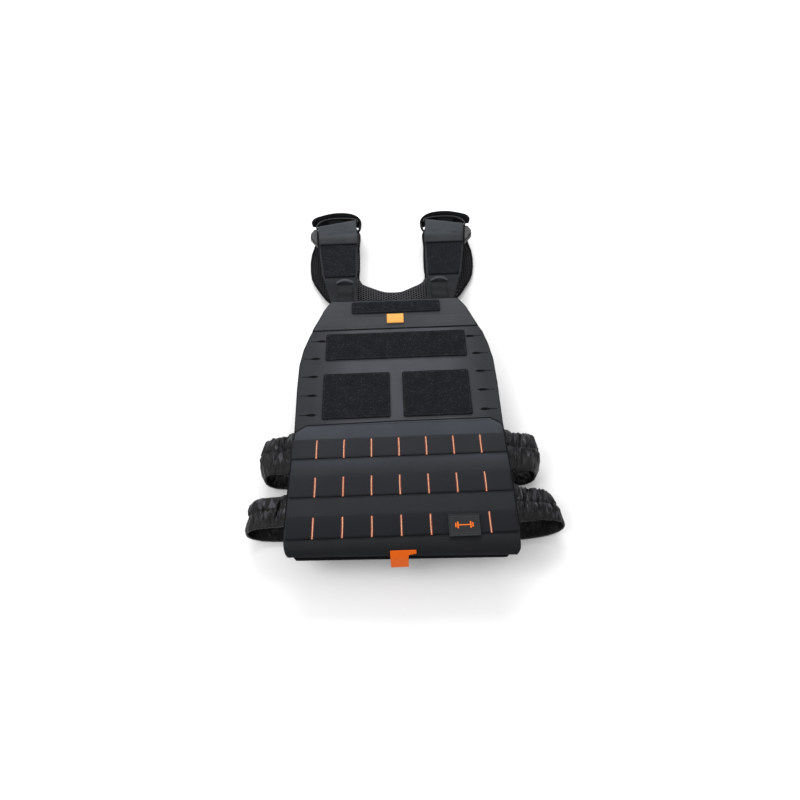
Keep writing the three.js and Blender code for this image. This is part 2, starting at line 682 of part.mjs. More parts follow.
// Side bands: gathered elastic that leaves from under the waist flap and turns round
// to the side seam of the back panel.
function sideBand(band) {
  const [headEdge, hemEdge] = [band.head * FLAP_TOP, band.hem * FLAP_TOP];
  const seam = [headEdge, hemEdge].map((y) =>
    read(PANEL_PLAN, (y - BACK_SHIFT) / BACK_HEIGHT, sideColumn(band.side)));
  const start = BACK_HALF_WIDTH * Math.max(...seam) + SEAM_GAP + BAND_THICKNESS * 0.15;
  const upper = BAG_TOP - BAND_DIP;
  const lower = BAND_FLOOR + BAND_THICKNESS / 2;
  const reachAt = (v) => {
    const at = THREE.MathUtils.clamp(v, 0, 1) * (band.reach.length - 1);
    const k = Math.min(Math.floor(at), band.reach.length - 2);
    return PANEL_HALF_WIDTH + band.out * THREE.MathUtils.lerp(band.reach[k], band.reach[k + 1], at - k);
  };
  const leaving = (out, down) =>
    new THREE.Vector3(PANEL_HALF_WIDTH + out, 0, THREE.MathUtils.lerp(BAND_SEAT, upper, down));
  const pathAt = (v) => {
    const reach = reachAt(v) - BAND_THICKNESS / 2;
    const tucked = [
      leaving(-BAND_TUCK, 0),
      leaving(-BAND_TUCK / 2, 0),
      ...BAND_LEAVE.map(([out, down]) => leaving(out * BAND_STEP_OUT, down)),
    ];
    const turn = BAND_PATH.map(([way, down], k) => {
      const inner = k < BAND_PATH.length / 2 ? PANEL_HALF_WIDTH + BAND_STEP_OUT : start;
      const height = upper - (upper - lower) * down;
      const sunk = band.sag * v * way * (upper - lower) * (1 - down);
      return new THREE.Vector3(inner + (reach - inner) * way, 0, height - sunk);
    });
    return new THREE.CatmullRomCurve3([...tucked, ...turn]);
  };
  const cache = new Map();
  const curve = (v) => {
    if (!cache.has(v)) cache.set(v, pathAt(v));
    return cache.get(v);
  };
  const turned = (u) => Math.sin(Math.PI * THREE.MathUtils.clamp(u, 0, 1)) ** 2;
  const middle = (u, v) => {
    const inside = THREE.MathUtils.clamp(u, 0, 1);
    const at = curve(v).getPoint(inside);
    at.addScaledVector(curve(v).getTangent(inside), (u - inside) * curve(v).getLength());
    const drawn = (headEdge - hemEdge) * turned(u);
    const [head, hem] = [headEdge - band.headIn * drawn, hemEdge + band.hemIn * drawn];
    return new THREE.Vector3(band.side * at.x, THREE.MathUtils.lerp(head, hem, v), at.z);
  };
  const us = stations(0, 1, 2 * BAND_RIPPLES + 6);
  const vs = [0, 0.08, 0.75 * BAND_SEAM, BAND_SEAM, 1.25 * BAND_SEAM, 0.82, 1];
  // Every second station stands out as a fold, but not under the flap nor along the seams.
  const gather = (u, v) => {
    const leaves = THREE.MathUtils.smoothstep(u, 0.16, 0.26);
    const lands = 1 - THREE.MathUtils.smoothstep(u, 0.86, 0.97);
    const half = v < BAND_SEAM ? v / BAND_SEAM : (v - BAND_SEAM) / (1 - BAND_SEAM);
    const pucker = 0.25 + 0.75 * Math.sin(Math.PI * half) ** 0.8;
    return (us.indexOf(u) % 2) * leaves * lands * pucker * BAND_RIPPLE;
  };
  return slab(us, vs, middle, (u, v) => {
    const faces = [BAND_THICKNESS / 2 + gather(u, v), BAND_THICKNESS / 2];
    return band.side > 0 ? faces.reverse() : faces;
  });
}
for (const band of BANDS) add(band.name, sideBand(band), GATHERED);

// Yoke: collar and shoulder pads in one padded piece, from the left tip round to the right.
const sideRise = (side) => SHOULDER_RISE - (side > 0 ? RIGHT_SHORTER : 0);
// Place across the chest of a share of the half span; the right shoulder leans out on its way up.
function across(side, x, up) {
  const lean = side > 0 ? RIGHT_LEAN * up * up : 0;
  return SHOULDER_SHIFT + side * x * SHOULDER_HALF + lean;
}
const shoulder = (side, x, y) =>
  new THREE.Vector3(across(side, x, y), PANEL_HEIGHT + y * sideRise(side), 0);
const collarSeat = BACK_SHIFT + BACK_HEIGHT + SEAM_GAP - PANEL_HEIGHT;
function yokeEdge(column) {
  const point = (side, row, k) => {
    const at = shoulder(side, row[column], row[column + 1]);
    const low = column === 0 ? THREE.MathUtils.smoothstep(k, PAD_PLAN.length - 4, PAD_PLAN.length - 2) : 0;
    at.y += low * collarSeat;
    return at;
  };
  const left = PAD_PLAN.map((row, k) => point(-1, row, k));
  const right = PAD_PLAN.slice(0, -1).map((row, k) => point(1, row, k)).reverse();
  return new THREE.CatmullRomCurve3([...left, ...right]);
}
const [yokeOuter, yokeInner] = [yokeEdge(0), yokeEdge(2)];
const yokeLength = yokeOuter.getLength();
const yokeThickness = (v) => {
  const collar = THREE.MathUtils.smoothstep(0.5 - Math.abs(v - 0.5), 0.26, 0.42);
  return THREE.MathUtils.lerp(PAD_THICKNESS, COLLAR_THICKNESS, collar);
};
function yokePoint(u, v) {
  const along = THREE.MathUtils.clamp(v, 0, 1);
  const at = yokeOuter.getPoint(along).lerp(yokeInner.getPoint(along), u);
  at.addScaledVector(yokeOuter.getTangent(along), (v - along) * SHOULDER_RISE);
  at.z = yokeThickness(along) / 2 + SEAM_GAP;
  return at;
}
add(
  'yoke_pad',
  slab(
    stations(0, 1, 3, [0.03, 0.12]),
    stations(0, 1, 34, [0.004]),
    yokePoint,
    (u, v) => {
      const wide = yokeOuter.getPoint(v).distanceTo(yokeInner.getPoint(v));
      const border = Math.min(Math.min(u, 1 - u) * wide, Math.min(v, 1 - v) * yokeLength);
      return (yokeThickness(v) / 2) * edgeFall(border, PAD_EDGE_RADIUS, 0.3);
    },
  ),
  MESH_LINING,
);

// Shoulder strap: runs from the panel's top seam to the ring, round its bar and back.
const foldRadius = (RING_BAR + STRAP_THICKNESS) / 2 + RING_CLEARANCE;
function strapHeight(up) {
  const foot = BAG_MIDDLE + STRAP_THICKNESS / 2;
  const line = THREE.MathUtils.lerp(foot, RING_HEIGHT - foldRadius, up / STRAP_FOLD.up);
  return line - STRAP_SAG * read(STRAP_PLAN, up, 1);
}
const slantAt = (up) => THREE.MathUtils.smoothstep(up, 0.4, 0.85);
function strapStations(side) {
  const rise = sideRise(side);
  const rows = STRAP_PLAN.map(([up, , outer, inner]) => ({
    y: up * rise, z: strapHeight(up), outer, inner, slant: slantAt(up),
  }));
  for (const turn of stations(-Math.PI / 2, Math.PI / 2, 6)) {
    rows.push({
      y: STRAP_FOLD.up * rise + foldRadius * Math.cos(turn),
      z: RING_HEIGHT + foldRadius * Math.sin(turn),
      outer: STRAP_FOLD.outer,
      inner: STRAP_FOLD.inner,
      slant: 1,
    });
  }
  const pileTop = strapHeight(STRAP_END.up) + STRAP_THICKNESS / 2 + SEAM_GAP + STRAP_PILE;
  const endHeight = pileTop + 2 * SEAM_GAP + STRAP_THICKNESS / 2;
  const bowed = THREE.MathUtils.lerp(STRAP_FOLD.up, STRAP_END.up, 0.45);
  rows.push({
    y: bowed * rise,
    z: endHeight + STRAP_END_BOW,
    outer: (STRAP_FOLD.outer + STRAP_END.outer) / 2,
    inner: (STRAP_FOLD.inner + STRAP_END.inner) / 2,
    slant: 0.6,
  });
  const { up, outer, inner } = STRAP_END;
  rows.push({ y: up * rise, z: endHeight, outer, inner, slant: 0 });
  return rows;
}
function strapPoint(side, rows, u, v) {
  const at = v * (rows.length - 1);
  const k = THREE.MathUtils.clamp(Math.floor(at), 0, rows.length - 2);
  const t = at - k;
  const mix = (key) => THREE.MathUtils.lerp(rows[k][key], rows[k + 1][key], t);
  const share = THREE.MathUtils.lerp(mix('outer'), mix('inner'), (u + 1) / 2);
  const x = across(side, share, mix('y') / sideRise(side));
  return new THREE.Vector3(x, PANEL_HEIGHT + mix('y') + u * STRAP_SLANT * mix('slant'), mix('z'));
}

// Moulded D ring: a straight bar inside the strap's fold and a bowed bar beyond it,
// one round bar swept along a closed path that lies level.
function ring(side) {
  const rise = sideRise(side);
  const past = side * (RING_BAR / 2 + RING_CLEARANCE);
  const outer = across(side, STRAP_FOLD.outer, STRAP_FOLD.up) + past;
  const inner = across(side, STRAP_FOLD.inner, STRAP_FOLD.up) - past;
  const bar = (share) => PANEL_HEIGHT + STRAP_FOLD.up * rise + STRAP_SLANT * (2 * share - 1);
  const crown = bar(1) + RING_BOW_HEIGHT;
  const path = stations(0, 1, 4).map((share) => [share, bar(share)]);
  for (const [share, up] of RING_BOW) path.push([share, THREE.MathUtils.lerp(bar(share), crown, up)]);
  const centre = path.map(([share, y]) =>
    new THREE.Vector3(THREE.MathUtils.lerp(outer, inner, share), y, RING_HEIGHT));
  const rings = centre.map((at, k) => {
    const before = centre[(k + centre.length - 1) % centre.length];
    const after = centre[(k + 1) % centre.length];
    const sideways = after.clone().sub(before).normalize().cross(new THREE.Vector3(0, 0, 1));
    return Array.from({ length: RING_SIDES }, (_, n) => {
      const turn = (2 * Math.PI * (n + 0.5)) / RING_SIDES;
      const point = at.clone().addScaledVector(sideways, (RING_BAR / 2) * Math.cos(turn));
      point.z += (RING_BAR / 2) * Math.sin(turn);
      return point;
    });
  });
  const index = [];
  for (let k = 0; k < rings.length; k += 1) {
    const next = (k + 1) % rings.length;
    for (let n = 0; n < RING_SIDES; n += 1) {
      const m = (n + 1) % RING_SIDES;
      const [a, b] = [k * RING_SIDES + n, k * RING_SIDES + m];
      const [c, d] = [next * RING_SIDES + m, next * RING_SIDES + n];
      index.push(a, b, c, a, c, d);
    }
  }
  const geometry = new THREE.BufferGeometry().setFromPoints(rings.flat());
  geometry.setIndex(index);
  return facingOut(geometry);
}

// Curled tip of the pad, a padded wall round the far side of the ring.
function padTip(side) {
  const point = (row, height) => {
    const at = shoulder(side, row[0], row[1]);
    const inwards = shoulder(side, ...TIP_CENTRE).sub(at).normalize();
    at.addScaledVector(inwards, (1 - height) * TIP_LEAN);
    at.z = THREE.MathUtils.lerp(row[2], row[3], height) * RING_HEIGHT;
    return at;
  };
  const [foot, top] = [0, 1].map((h) => new THREE.CatmullRomCurve3(TIP_PLAN.map((row) => point(row, h))));
  return slab(
    [0, 0.15, 0.5, 0.85, 1],
    stations(0, 1, 16),
    (u, v) => {
      const along = THREE.MathUtils.clamp(v, 0, 1);
      const at = foot.getPoint(along).lerp(top.getPoint(along), u);
      return at.addScaledVector(top.getTangent(along), (v - along) * SHOULDER_HALF);
    },
    (u) => (TIP_WALL / 2) * (u === 0 || u === 1 ? 0.55 : 1),
  );
}

// Moulded release latch at the outer edge of the strap, below the ring.
function latch(side) {
  const outline = new THREE.Shape(LATCH_PLAN.map(([x, y]) => {
    const at = shoulder(side, x, y);
    return new THREE.Vector2(at.x, at.y);
  }));
  const geometry = new THREE.ExtrudeGeometry(outline, {
    depth: LATCH_DEPTH,
    bevelThickness: LATCH_BEVEL,
    bevelSize: 1,
    bevelOffset: -1,
    bevelSegments: 1,
  });
  return geometry.translate(0, 0, RING_HEIGHT - RING_BAR / 2 - SEAM_GAP - LATCH_DEPTH - LATCH_BEVEL);
}

// The strap itself, folded back over the ring's bar.
function strap(side) {
  const rows = strapStations(side);
  return slab(
    [-1, -0.9, 0, 0.9, 1],
    stations(0, 1, rows.length - 1),
    (u, v) => strapPoint(side, rows, u, v),
    (u) => (STRAP_THICKNESS / 2) * (Math.abs(u) === 1 ? 0.7 : 1),
  );
}

// Loop pile on the strap's upper face, running in under the folded end.
function strapPile(side) {
  const rise = sideRise(side);
  const inset = STRAP_PILE_INSET / SHOULDER_HALF;
  return slab(
    [-1, 0, 1],
    [0.32, 0.4, 0.49, 0.6, 0.68, 0.76],
    (u, up) => {
      const outer = read(STRAP_PLAN, up, 2) - inset;
      const inner = read(STRAP_PLAN, up, 3) + inset;
      return new THREE.Vector3(
        across(side, THREE.MathUtils.lerp(outer, inner, (u + 1) / 2), up),
        PANEL_HEIGHT + up * rise + u * STRAP_SLANT * slantAt(up),
        strapHeight(up) + STRAP_THICKNESS / 2 + SEAM_GAP + STRAP_PILE / 2,
      );
    },
    () => STRAP_PILE / 2,
  );
}

// Webbing that ties the ring's bow to the pad.
function ringLoop(side) {
  const bow = PANEL_HEIGHT + STRAP_FOLD.up * sideRise(side) + STRAP_SLANT + RING_BOW_HEIGHT;
  const under = RING_HEIGHT - RING_BAR / 2 - SEAM_GAP - LOOP_THICKNESS / 2;
  const points = [
    [bow - 0.92 * LOOP_LENGTH, 0.42 * under],
    [bow - 0.52 * LOOP_LENGTH, 0.50 * under],
    [bow - 0.20 * LOOP_LENGTH, 0.80 * under],
    [bow, under],
    [bow + 0.08 * LOOP_LENGTH, under],
  ];
  return ribbon(points, () => [LOOP_HALF, LOOP_HALF], LOOP_THICKNESS, 6);
}

// Webbing stub on the strap's foot.
const onStrap = (up) => strapHeight(up) + STRAP_THICKNESS / 2 + SEAM_GAP;
function stub(side) {
  const rise = sideRise(side);
  const points = stations(STRAP_PLAN[0][0], 0.22, 3).map(
    (up) => [PANEL_HEIGHT + up * rise, onStrap(up) + STUB_THICKNESS * 0.55],
  );
  return ribbon(points, () => [STUB_HALF, STUB_HALF], STUB_THICKNESS, 5);
}

// Small arched keeper above the stub.
const KEEPER_AT = { up: 0.24, across: 0.555 };
function keeper(side) {
  const foot = PANEL_HEIGHT + KEEPER_AT.up * sideRise(side);
  return slab(
    stations(-1, 1, 8),
    [0, 0.5, 1],
    (u, v) => new THREE.Vector3(
      u * KEEPER_HALF,
      foot + KEEPER_WIDTH * v + KEEPER_BOW * (1 - u * u),
      onStrap(KEEPER_AT.up) + KEEPER_THICKNESS / 2 + KEEPER_ARCH * (1 - u * u),
    ),
    () => KEEPER_THICKNESS / 2,
  );
}

for (const side of [-1, 1]) {
  const hand = side < 0 ? 'left' : 'right';
  add(`shoulder_strap_${hand}`, strap(side), STRAP_CLOTH);
  add(`strap_pile_${hand}`, strapPile(side), LOOP_PILE);
  add(`strap_ring_${hand}`, ring(side), MOULDED);
  add(`release_latch_${hand}`, latch(side), MOULDED);
  add(`pad_tip_${hand}`, padTip(side), MESH_LINING);
  add(`ring_loop_${hand}`, ringLoop(side), WEBBING).position.setX(across(side, 0.69, 0.85));
  add(`strap_stub_${hand}`, stub(side), WEBBING).position.setX(across(side, 0.545, 0.1));
  add(`strap_keeper_${hand}`, keeper(side), WEBBING)
    .position.setX(across(side, KEEPER_AT.across, KEEPER_AT.up));
}

// The origin is the middle of the vest on the floor.
const bounds = new THREE.Box3().setFromObject(vest);
vest.position.set(
  -(bounds.min.x + bounds.max.x) / 2,
  -(bounds.min.y + bounds.max.y) / 2,
  -bounds.min.z,
);

export default vest;
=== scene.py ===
import math

import bmesh
import bpy
from mathutils import Matrix, Vector, noise


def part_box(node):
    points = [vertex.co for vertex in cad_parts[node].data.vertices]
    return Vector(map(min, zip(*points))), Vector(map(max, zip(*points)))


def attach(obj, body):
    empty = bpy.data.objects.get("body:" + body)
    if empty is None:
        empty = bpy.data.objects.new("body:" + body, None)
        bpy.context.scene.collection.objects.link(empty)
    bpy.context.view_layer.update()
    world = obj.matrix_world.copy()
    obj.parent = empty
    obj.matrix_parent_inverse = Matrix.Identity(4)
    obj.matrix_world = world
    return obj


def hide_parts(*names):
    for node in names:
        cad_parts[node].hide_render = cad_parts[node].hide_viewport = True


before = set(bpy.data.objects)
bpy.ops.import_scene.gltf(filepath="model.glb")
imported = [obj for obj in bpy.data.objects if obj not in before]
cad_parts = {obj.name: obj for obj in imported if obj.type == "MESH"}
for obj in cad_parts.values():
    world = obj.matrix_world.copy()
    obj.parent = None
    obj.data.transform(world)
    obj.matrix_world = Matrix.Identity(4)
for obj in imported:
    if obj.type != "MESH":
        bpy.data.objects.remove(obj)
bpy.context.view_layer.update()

# Sizes in metres; an object's X runs across the vest, Y from the hem to the head, and Z up
MM = 0.001
SAME_POINT = 0.01 * MM
ACROSS, ALONG, UP = 0, 1, 2
HANDS = ("left", "right")
FLAP_LOW, FLAP_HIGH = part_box("waist_flap")
FLAP_LENGTH = FLAP_HIGH.y - FLAP_LOW.y

# Camera, placed from the middle of the wide loop patch
CAMERA_OFFSET = Vector((3.4 * MM, -595.7 * MM, 734.6 * MM))
CAMERA_PITCH = 0.981
CAMERA_ROLL = -0.037
LENS_MM = 27
SENSOR_MM = 36

# Light; each soft box has its place, the point it faces, its two sides and its power
SKY_STRENGTH = 0.85
HEAD_LIGHT = ((0.0, 1.5, 1.3), (0, 0.1, 0), (1.6, 0.8), 26)
LEFT_LIGHT = ((-1.2, -0.4, 1.5), (0, 0, 0), (1.0, 1.0), 12)
FLOOR_REACH = 6

# Painted shade on the finishes, and the fading of the mesh's knots: where each starts and where it is full,
# off the middle or an edge
PANEL_SIDES = (70 * MM, 130 * MM)
MESH_SIDES = (90 * MM, 120 * MM)
FLAP_FADE = (0, -120 * MM)
FLAP_HEM_FADE = (40 * MM, 12 * MM)
FLAP_WEBBING_FADE = (-40 * MM, 20 * MM - FLAP_LENGTH)
STRAP_FOLD_FADE = (-12 * MM, -24 * MM)
STRAP_FOOT_FADE = (10 * MM, -15 * MM)

# Painted shade between two webbing rows and on the bands, as shares of the way, width and height
ROW_SHADE = (0.12, 0.5)
ROW_SHADE_DEPTH = 0.85
BAND_HEM_FADE = (0.36, 0.24)
BAND_INSIDE_FADE = (0.42, 0.25)
BAND_SEAM_SHADE = (0.6 * MM, 2.4 * MM)
BAND_SEAM_SHADE_DEPTH = 0.85

# Patterns: the pitches of the weaves and the mesh, and how long a satin streak, of painted highlight and of
# bump, is for its width
NYLON_WEAVE = 0.55 * MM
STRAP_WEAVE = 0.7 * MM
SATIN_WEAVE = 0.45 * MM
MESH_PITCH = 4.4 * MM
MESH_KNOT_COLOUR = (1.7, 2.4)
MESH_KNOT_RISE = (1.2, 2.4)
MESH_FAINTEST = 0.3
SATIN_STREAK = 3.5

# The part of a noise's range over which cloth turns uneven in colour, and worn
UNEVEN_SPAN = (0.35, 0.7)
WORN_SPAN = (0.3, 0.7)

# Padded bags and yoke: how far the cloth may swell, and how far past the solid's top
BAG_VOXEL = 5 * MM
BAG_SWELL = 2.2 * MM
BACK_BAG_ROOM = 1 * MM
YOKE_VOXEL = 4.5 * MM
YOKE_SWELL = 3.5 * MM
YOKE_ROOM = 2 * MM
CLOTH_QUALITY = 4
CLOTH_MASS = 0.2
CLOTH_STIFFNESS = 12
CLOTH_PRESSURE = 4
CLOTH_FRAMES = 20
SEAM_GIVE = 0.03

# Binding round the padded pieces, and dark cord just below the tops of the sheets as a painted shadow line
# along their edges
BINDING_RADIUS = 2.2 * MM
BAG_BINDING_RISE = 0.2 * MM
YOKE_BINDING_HEIGHT = 7 * MM
EDGE_RADIUS = 1.0 * MM
FACE_EDGE_DROP = 0.5 * MM
CHEST_EDGE_DROP = 0.8 * MM
WAIST_EDGE_DROP = 0.7 * MM
WAIST_EDGE_START = 25 * MM
TAPE_ROUNDING = 2

# How bent and how skew a quad made of two triangles may be, in radians
QUAD_BEND = 0.6
QUAD_SKEW = 1.2

# Steps at which the solids are cut across, so that they can bend
SLICE = 7 * MM
FINE_SLICE = 2.5 * MM
STRAP_SLICE = 5 * MM

# Unevenness of what lies on the bags: its height, the size of its waves, and its seed
FACE_WAVES = (0.35 * MM, 55 * MM, 0)
CHEST_WAVES = (0.5 * MM, 70 * MM, 3)
WAIST_WAVES = (0.25 * MM, 60 * MM, 5)
STRAP_PILE_WAVES = (0.3 * MM, 3.1 * MM, 0)

# Stitching
STITCH_PITCH = 3.4 * MM
STITCH_LENGTH = 2.5 * MM
STITCH_RADIUS = 0.32 * MM
STITCH_RISE = 0.1 * MM

# Chest flap: its two seams above its lower edge, and how far it narrows on its way up
CHEST_SEAMS = (5 * MM, 26 * MM)
CHEST_SEAM_INSET = 9 * MM
CHEST_NARROWING = 0.35
SEAM_DEPTH = 0.5 * MM
SEAM_WIDTH = 2 * MM

# Loop patches
PILE_RISE = 0.45 * MM
PILE_GRAIN = 0.35 * MM
PILE_GRAIN_SIZE = 3.1 * MM
PILE_DENT = 0.3 * MM
PILE_DENT_SIZE = 22 * MM
PILE_HEM_DEPTH = 0.5 * MM
PILE_HEM_WIDTH = 1.2 * MM
PILE_STITCH_INSET = 2.2 * MM
PILE_STITCH_RISE = 0.25 * MM

# Seams of the waist flap
WAIST_TOP_DEPTH = 5 * MM
WAIST_STITCH_RISE = 0.55 * MM
WAIST_STITCH_INSET = 4 * MM
WAIST_STITCH_FOOT = 18 * MM
WAIST_STITCH_LEAN = 3 * MM
WAIST_CHAMFER = 15 * MM

# Webbing on the waist flap
WEB_THICKNESS = 1.0 * MM
WEB_COLUMNS = 160
WEB_LINES = 10
WEB_BULGE = 0.8 * MM
WEB_FULLNESS = 0.6
WEB_TIGHT = 0.55
WEB_LOOSER_AT_HEM = 0.45
WEB_UNEVEN = 0.25
WEB_WAVES_ALONG = 30 * MM
WEB_WAVE_SIZE = 45 * MM
WEB_SEED = 7
WEB_DROOP = 0.5 * MM
WEB_ROLL = 0.25 * MM
WEB_ROLL_START = 0.7
# A dark cord along each row's hem edge, a painted shadow line: its rise and radius
WEB_SHADOW_LINE_RISE = 0.4 * MM
WEB_SHADOW_LINE_RADIUS = 0.6 * EDGE_RADIUS
LABEL_ROW = 3
LABEL_CLEARANCE = 6 * MM
NOWHERE = (0, 0)

# Bar tacks
TACK_PITCH = 38.1 * MM
TACKS_EACH_SIDE = 3
TACK_LENGTH = 28.5 * MM
TACK_DROP = 1.2 * MM
TACK_HALF_WIDTH = 0.78 * MM
TACK_STITCHES = 24
TACK_STITCH_FULLNESS = 0.62
TACK_FLATNESS = 0.55
TACK_SLANT = 0.35
TACK_BEND = 0.5 * MM
TACK_BEND_TURN = 3
TACK_RISE = 0.15 * MM
# The dark block under each tack: a deeper copy of its thread, as painted shade round it
TACK_SHADE_WIDTH = 3.2 * MM
TACK_SHADE_THICKNESS = 0.5 * MM
TACK_SHADE_SOFTNESS = 0.2 * MM

# Label: the steps of its face from the rim inwards, as inset and rise
LABEL_SOFTNESS = 0.5 * MM
LABEL_STEPS = ((1.7 * MM, -0.7 * MM), (0.9 * MM, 0.0), (0.5 * MM, 0.25 * MM), (0.5 * MM, -0.25 * MM))
LABEL_FRAME_INSET = 3.6 * MM
LABEL_FRAME_RADIUS = 0.3 * MM

# The label's dumbbell: its handle, and each plate's place off the middle, width and height
MOTIF_HANDLE = (0, 15 * MM, 1.5 * MM)
MOTIF_PLATES = ((8.2 * MM, 1.9 * MM, 9 * MM), (10.9 * MM, 1.7 * MM, 6 * MM))
MOTIF_DEPTH = 0.8 * MM
MOTIF_SOFTNESS = 0.2 * MM

# Pull tabs; an edge is sharp from this angle in radians
TAB_SOFTNESS = 0.5 * MM
SHARP_ANGLE = 1

# Side bands: the gathered seam, and the ridges with smaller creases on them that fan out from it
BAND_SEAM_SHARE = 0.4
BAND_SEAM_DEPTH = 1.9 * MM
BAND_SEAM_WIDTH = 2.4 * MM
BAND_CUTS = 3
BAND_SMOOTHINGS = 2
BAND_WRINKLE = 3.0 * MM
BAND_WRINKLE_PITCH = 8 * MM
BAND_WRINKLE_RUN = 30 * MM
BAND_CREST = 0.9
BAND_VALLEY = 2.4
BAND_CREASE = 0.35
BAND_CREASE_PITCH = 2.6
BAND_CREASE_RUN = 0.5
BAND_CREASE_SEED = 5
BAND_FAN = 0.25
BAND_FAN_TURNS = 70
BAND_SEEDS = {"left": 3.7, "right": 9.1}

# How a band's creases grow off the floor, its rim and its hem, and the least that is left of them
BAND_FLOOR_GROWTH = 2.2
BAND_FLOOR_START = 0.5
BAND_RIM = 6 * MM
BAND_RIM_LEAST = 0.25
BAND_HEM_SHARE = 0.3
BAND_HEM_START = 0.4
BAND_HEM_LEAST = 0.15

# Straps: the stub's loose folds at their foot, and the latches
STRAP_SMOOTHINGS = 3
STUB_BULGE = 3.6 * MM
STUB_FOLD = 1.6 * MM
STUB_FOLD_TURNS = 4.5 * math.pi
STUB_FOLD_SKEW = 25
LATCH_SOFTNESS = 0.6 * MM


def linear(red, green, blue):
    """A colour on the 0 to 255 screen scale as the shader wants it."""
    def one(value):
        share = value / 255
        return share / 12.92 if share <= 0.04045 else ((share + 0.055) / 1.055) ** 2.4
    return (one(red), one(green), one(blue), 1)


class Finish:
    """One material: a Principled shader with patterns laid over it."""

    def __init__(self, name, colour, roughness, specular=0.1):
        self.material = bpy.data.materials.new(name)
        self.material.use_nodes = True
        self.nodes = self.material.node_tree.nodes
        self.links = self.material.node_tree.links
        self.shader = self.nodes["Principled BSDF"]
        self.shader.inputs["Base Color"].default_value = colour
        self.shader.inputs["Roughness"].default_value = roughness
        self.shader.inputs["Specular IOR Level"].default_value = specular
        self.colour = colour
        self.bumps = None
        self.place = self.nodes.new("ShaderNodeTexCoord").outputs["Object"]

    def node(self, kind, inputs=None, **settings):
        """A new node; an input that is itself a socket is linked, any other is set."""
        made = self.nodes.new(kind)
        for key, value in settings.items():
            setattr(made, key, value)
        for key, value in (inputs or {}).items():
            if isinstance(value, bpy.types.NodeSocket):
                self.links.new(value, made.inputs[key])
            else:
                made.inputs[key].default_value = value
        return made

    def math(self, operation, first, second=0.0):
        """The result of an operation on two values, of which either may be a socket."""
        return self.node("ShaderNodeMath", {0: first, 1: second}, operation=operation).outputs[0]

    def span(self, value, low, high, to_low=0.0, to_high=1.0):
        """A value between two numbers, spread evenly over two others."""
        inputs = {"Value": value, "From Min": low, "From Max": high, "To Min": to_low, "To Max": to_high}
        return self.node("ShaderNodeMapRange", inputs).outputs["Result"]

    def coordinate(self, axis):
        """One of the object's coordinates."""
        return self.node("ShaderNodeSeparateXYZ", {0: self.place}).outputs[axis]

    def off_middle(self):
        """How far a place lies to either side of the vest's middle."""
        return self.math("ABSOLUTE", self.coordinate(ACROSS))

    def stretched(self, along):
        """The object's coordinates, with patterns drawn out between hem and head."""
        inputs = {"Vector": self.place, "Scale": (1, 1 / along, 1)}
        return self.node("ShaderNodeMapping", inputs).outputs[0]

    def turned(self, angle):
        """The object's coordinates, turned about the up axis."""
        inputs = {"Vector": self.place, "Rotation": (0, 0, angle)}
        return self.node("ShaderNodeMapping", inputs).outputs[0]

    def noise(self, size, detail=2.0, distortion=0.0, vector=None):
        """Cloudy noise with blots of about a size in metres."""
        inputs = {"Vector": vector or self.place, "Scale": 1 / size, "Detail": detail,
                  "Distortion": distortion}
        return self.node("ShaderNodeTexNoise", inputs).outputs["Fac"]

    def cells(self, size):
        """Rounded cells of about a size in metres."""
        inputs = {"Vector": self.place, "Scale": 1 / size}
        return self.node("ShaderNodeTexVoronoi", inputs).outputs["Distance"]

    def ribs(self, pitch, direction, vector=None):
        """Even ribs at a pitch in metres; the wave texture turns once in 0.314 units."""
        inputs = {"Vector": vector or self.place, "Scale": math.pi / 10 / pitch}
        return self.node("ShaderNodeTexWave", inputs, bands_direction=direction).outputs["Fac"]

    def tint(self, share, colour):
        """Blends the colour so far towards another by a share."""
        mix = self.node("ShaderNodeMix", data_type="RGBA")
        self.links.new(share, mix.inputs["Factor"])
        before = self.shader.inputs["Base Color"]
        if before.is_linked:
            self.links.new(before.links[0].from_socket, mix.inputs["A"])
        else:
            mix.inputs["A"].default_value = self.colour
        mix.inputs["B"].default_value = colour
        self.links.new(mix.outputs["Result"], before)

    def faded(self, axis, origin, distances, colour):
        """Blends towards another colour between two distances from a place on an axis."""
        start, end = (origin + distance for distance in distances)
        self.tint(self.span(self.coordinate(axis), start, end), colour)

    def uneven(self, size, depth):
        """Slow lighter and darker areas, as handled cloth has."""
        shade = tuple(channel * (1 - depth) for channel in self.colour[:3]) + (1,)
        self.tint(self.span(self.noise(size, 3), *UNEVEN_SPAN), shade)

    def worn(self, low, high, size):
        """Roughness that wanders between two values."""
        rough = self.span(self.noise(size, 4), *WORN_SPAN, low, high)
        self.links.new(rough, self.shader.inputs["Roughness"])

    def relief(self, height, distance, strength=1.0):
        """Adds a bump on top of the bumps so far."""
        inputs = {"Height": height, "Distance": distance, "Strength": strength}
        if self.bumps is not None:
            inputs["Normal"] = self.bumps
        self.bumps = self.node("ShaderNodeBump", inputs).outputs["Normal"]
        self.links.new(self.bumps, self.shader.inputs["Normal"])


def woven(finish, pitch, depth):
    """Plain weave: threads over and under in both directions."""
    across = finish.ribs(pitch, "X")
    along = finish.ribs(pitch, "Y")
    finish.relief(finish.math("MAXIMUM", across, along), depth)


def nylon_finish(name, colour, weave=NYLON_WEAVE):
    """Coated nylon cloth: uneven, a little rumpled, and plainly woven."""
    finish = Finish(name, colour, 0.7)
    finish.uneven(60 * MM, 0.14)
    finish.worn(0.6, 0.8, 35 * MM)
    finish.relief(finish.noise(24 * MM, 3), 0.9 * MM, 0.55)
    woven(finish, weave, 0.09 * MM)
    return finish


def panel_finish():
    """Face cloth of the panel, with painted shade that darkens it where it rolls off towards the sides."""
    finish = nylon_finish("panel_nylon", linear(70, 71, 76))
    finish.tint(finish.span(finish.off_middle(), *PANEL_SIDES), linear(46, 47, 50))
    return finish.material


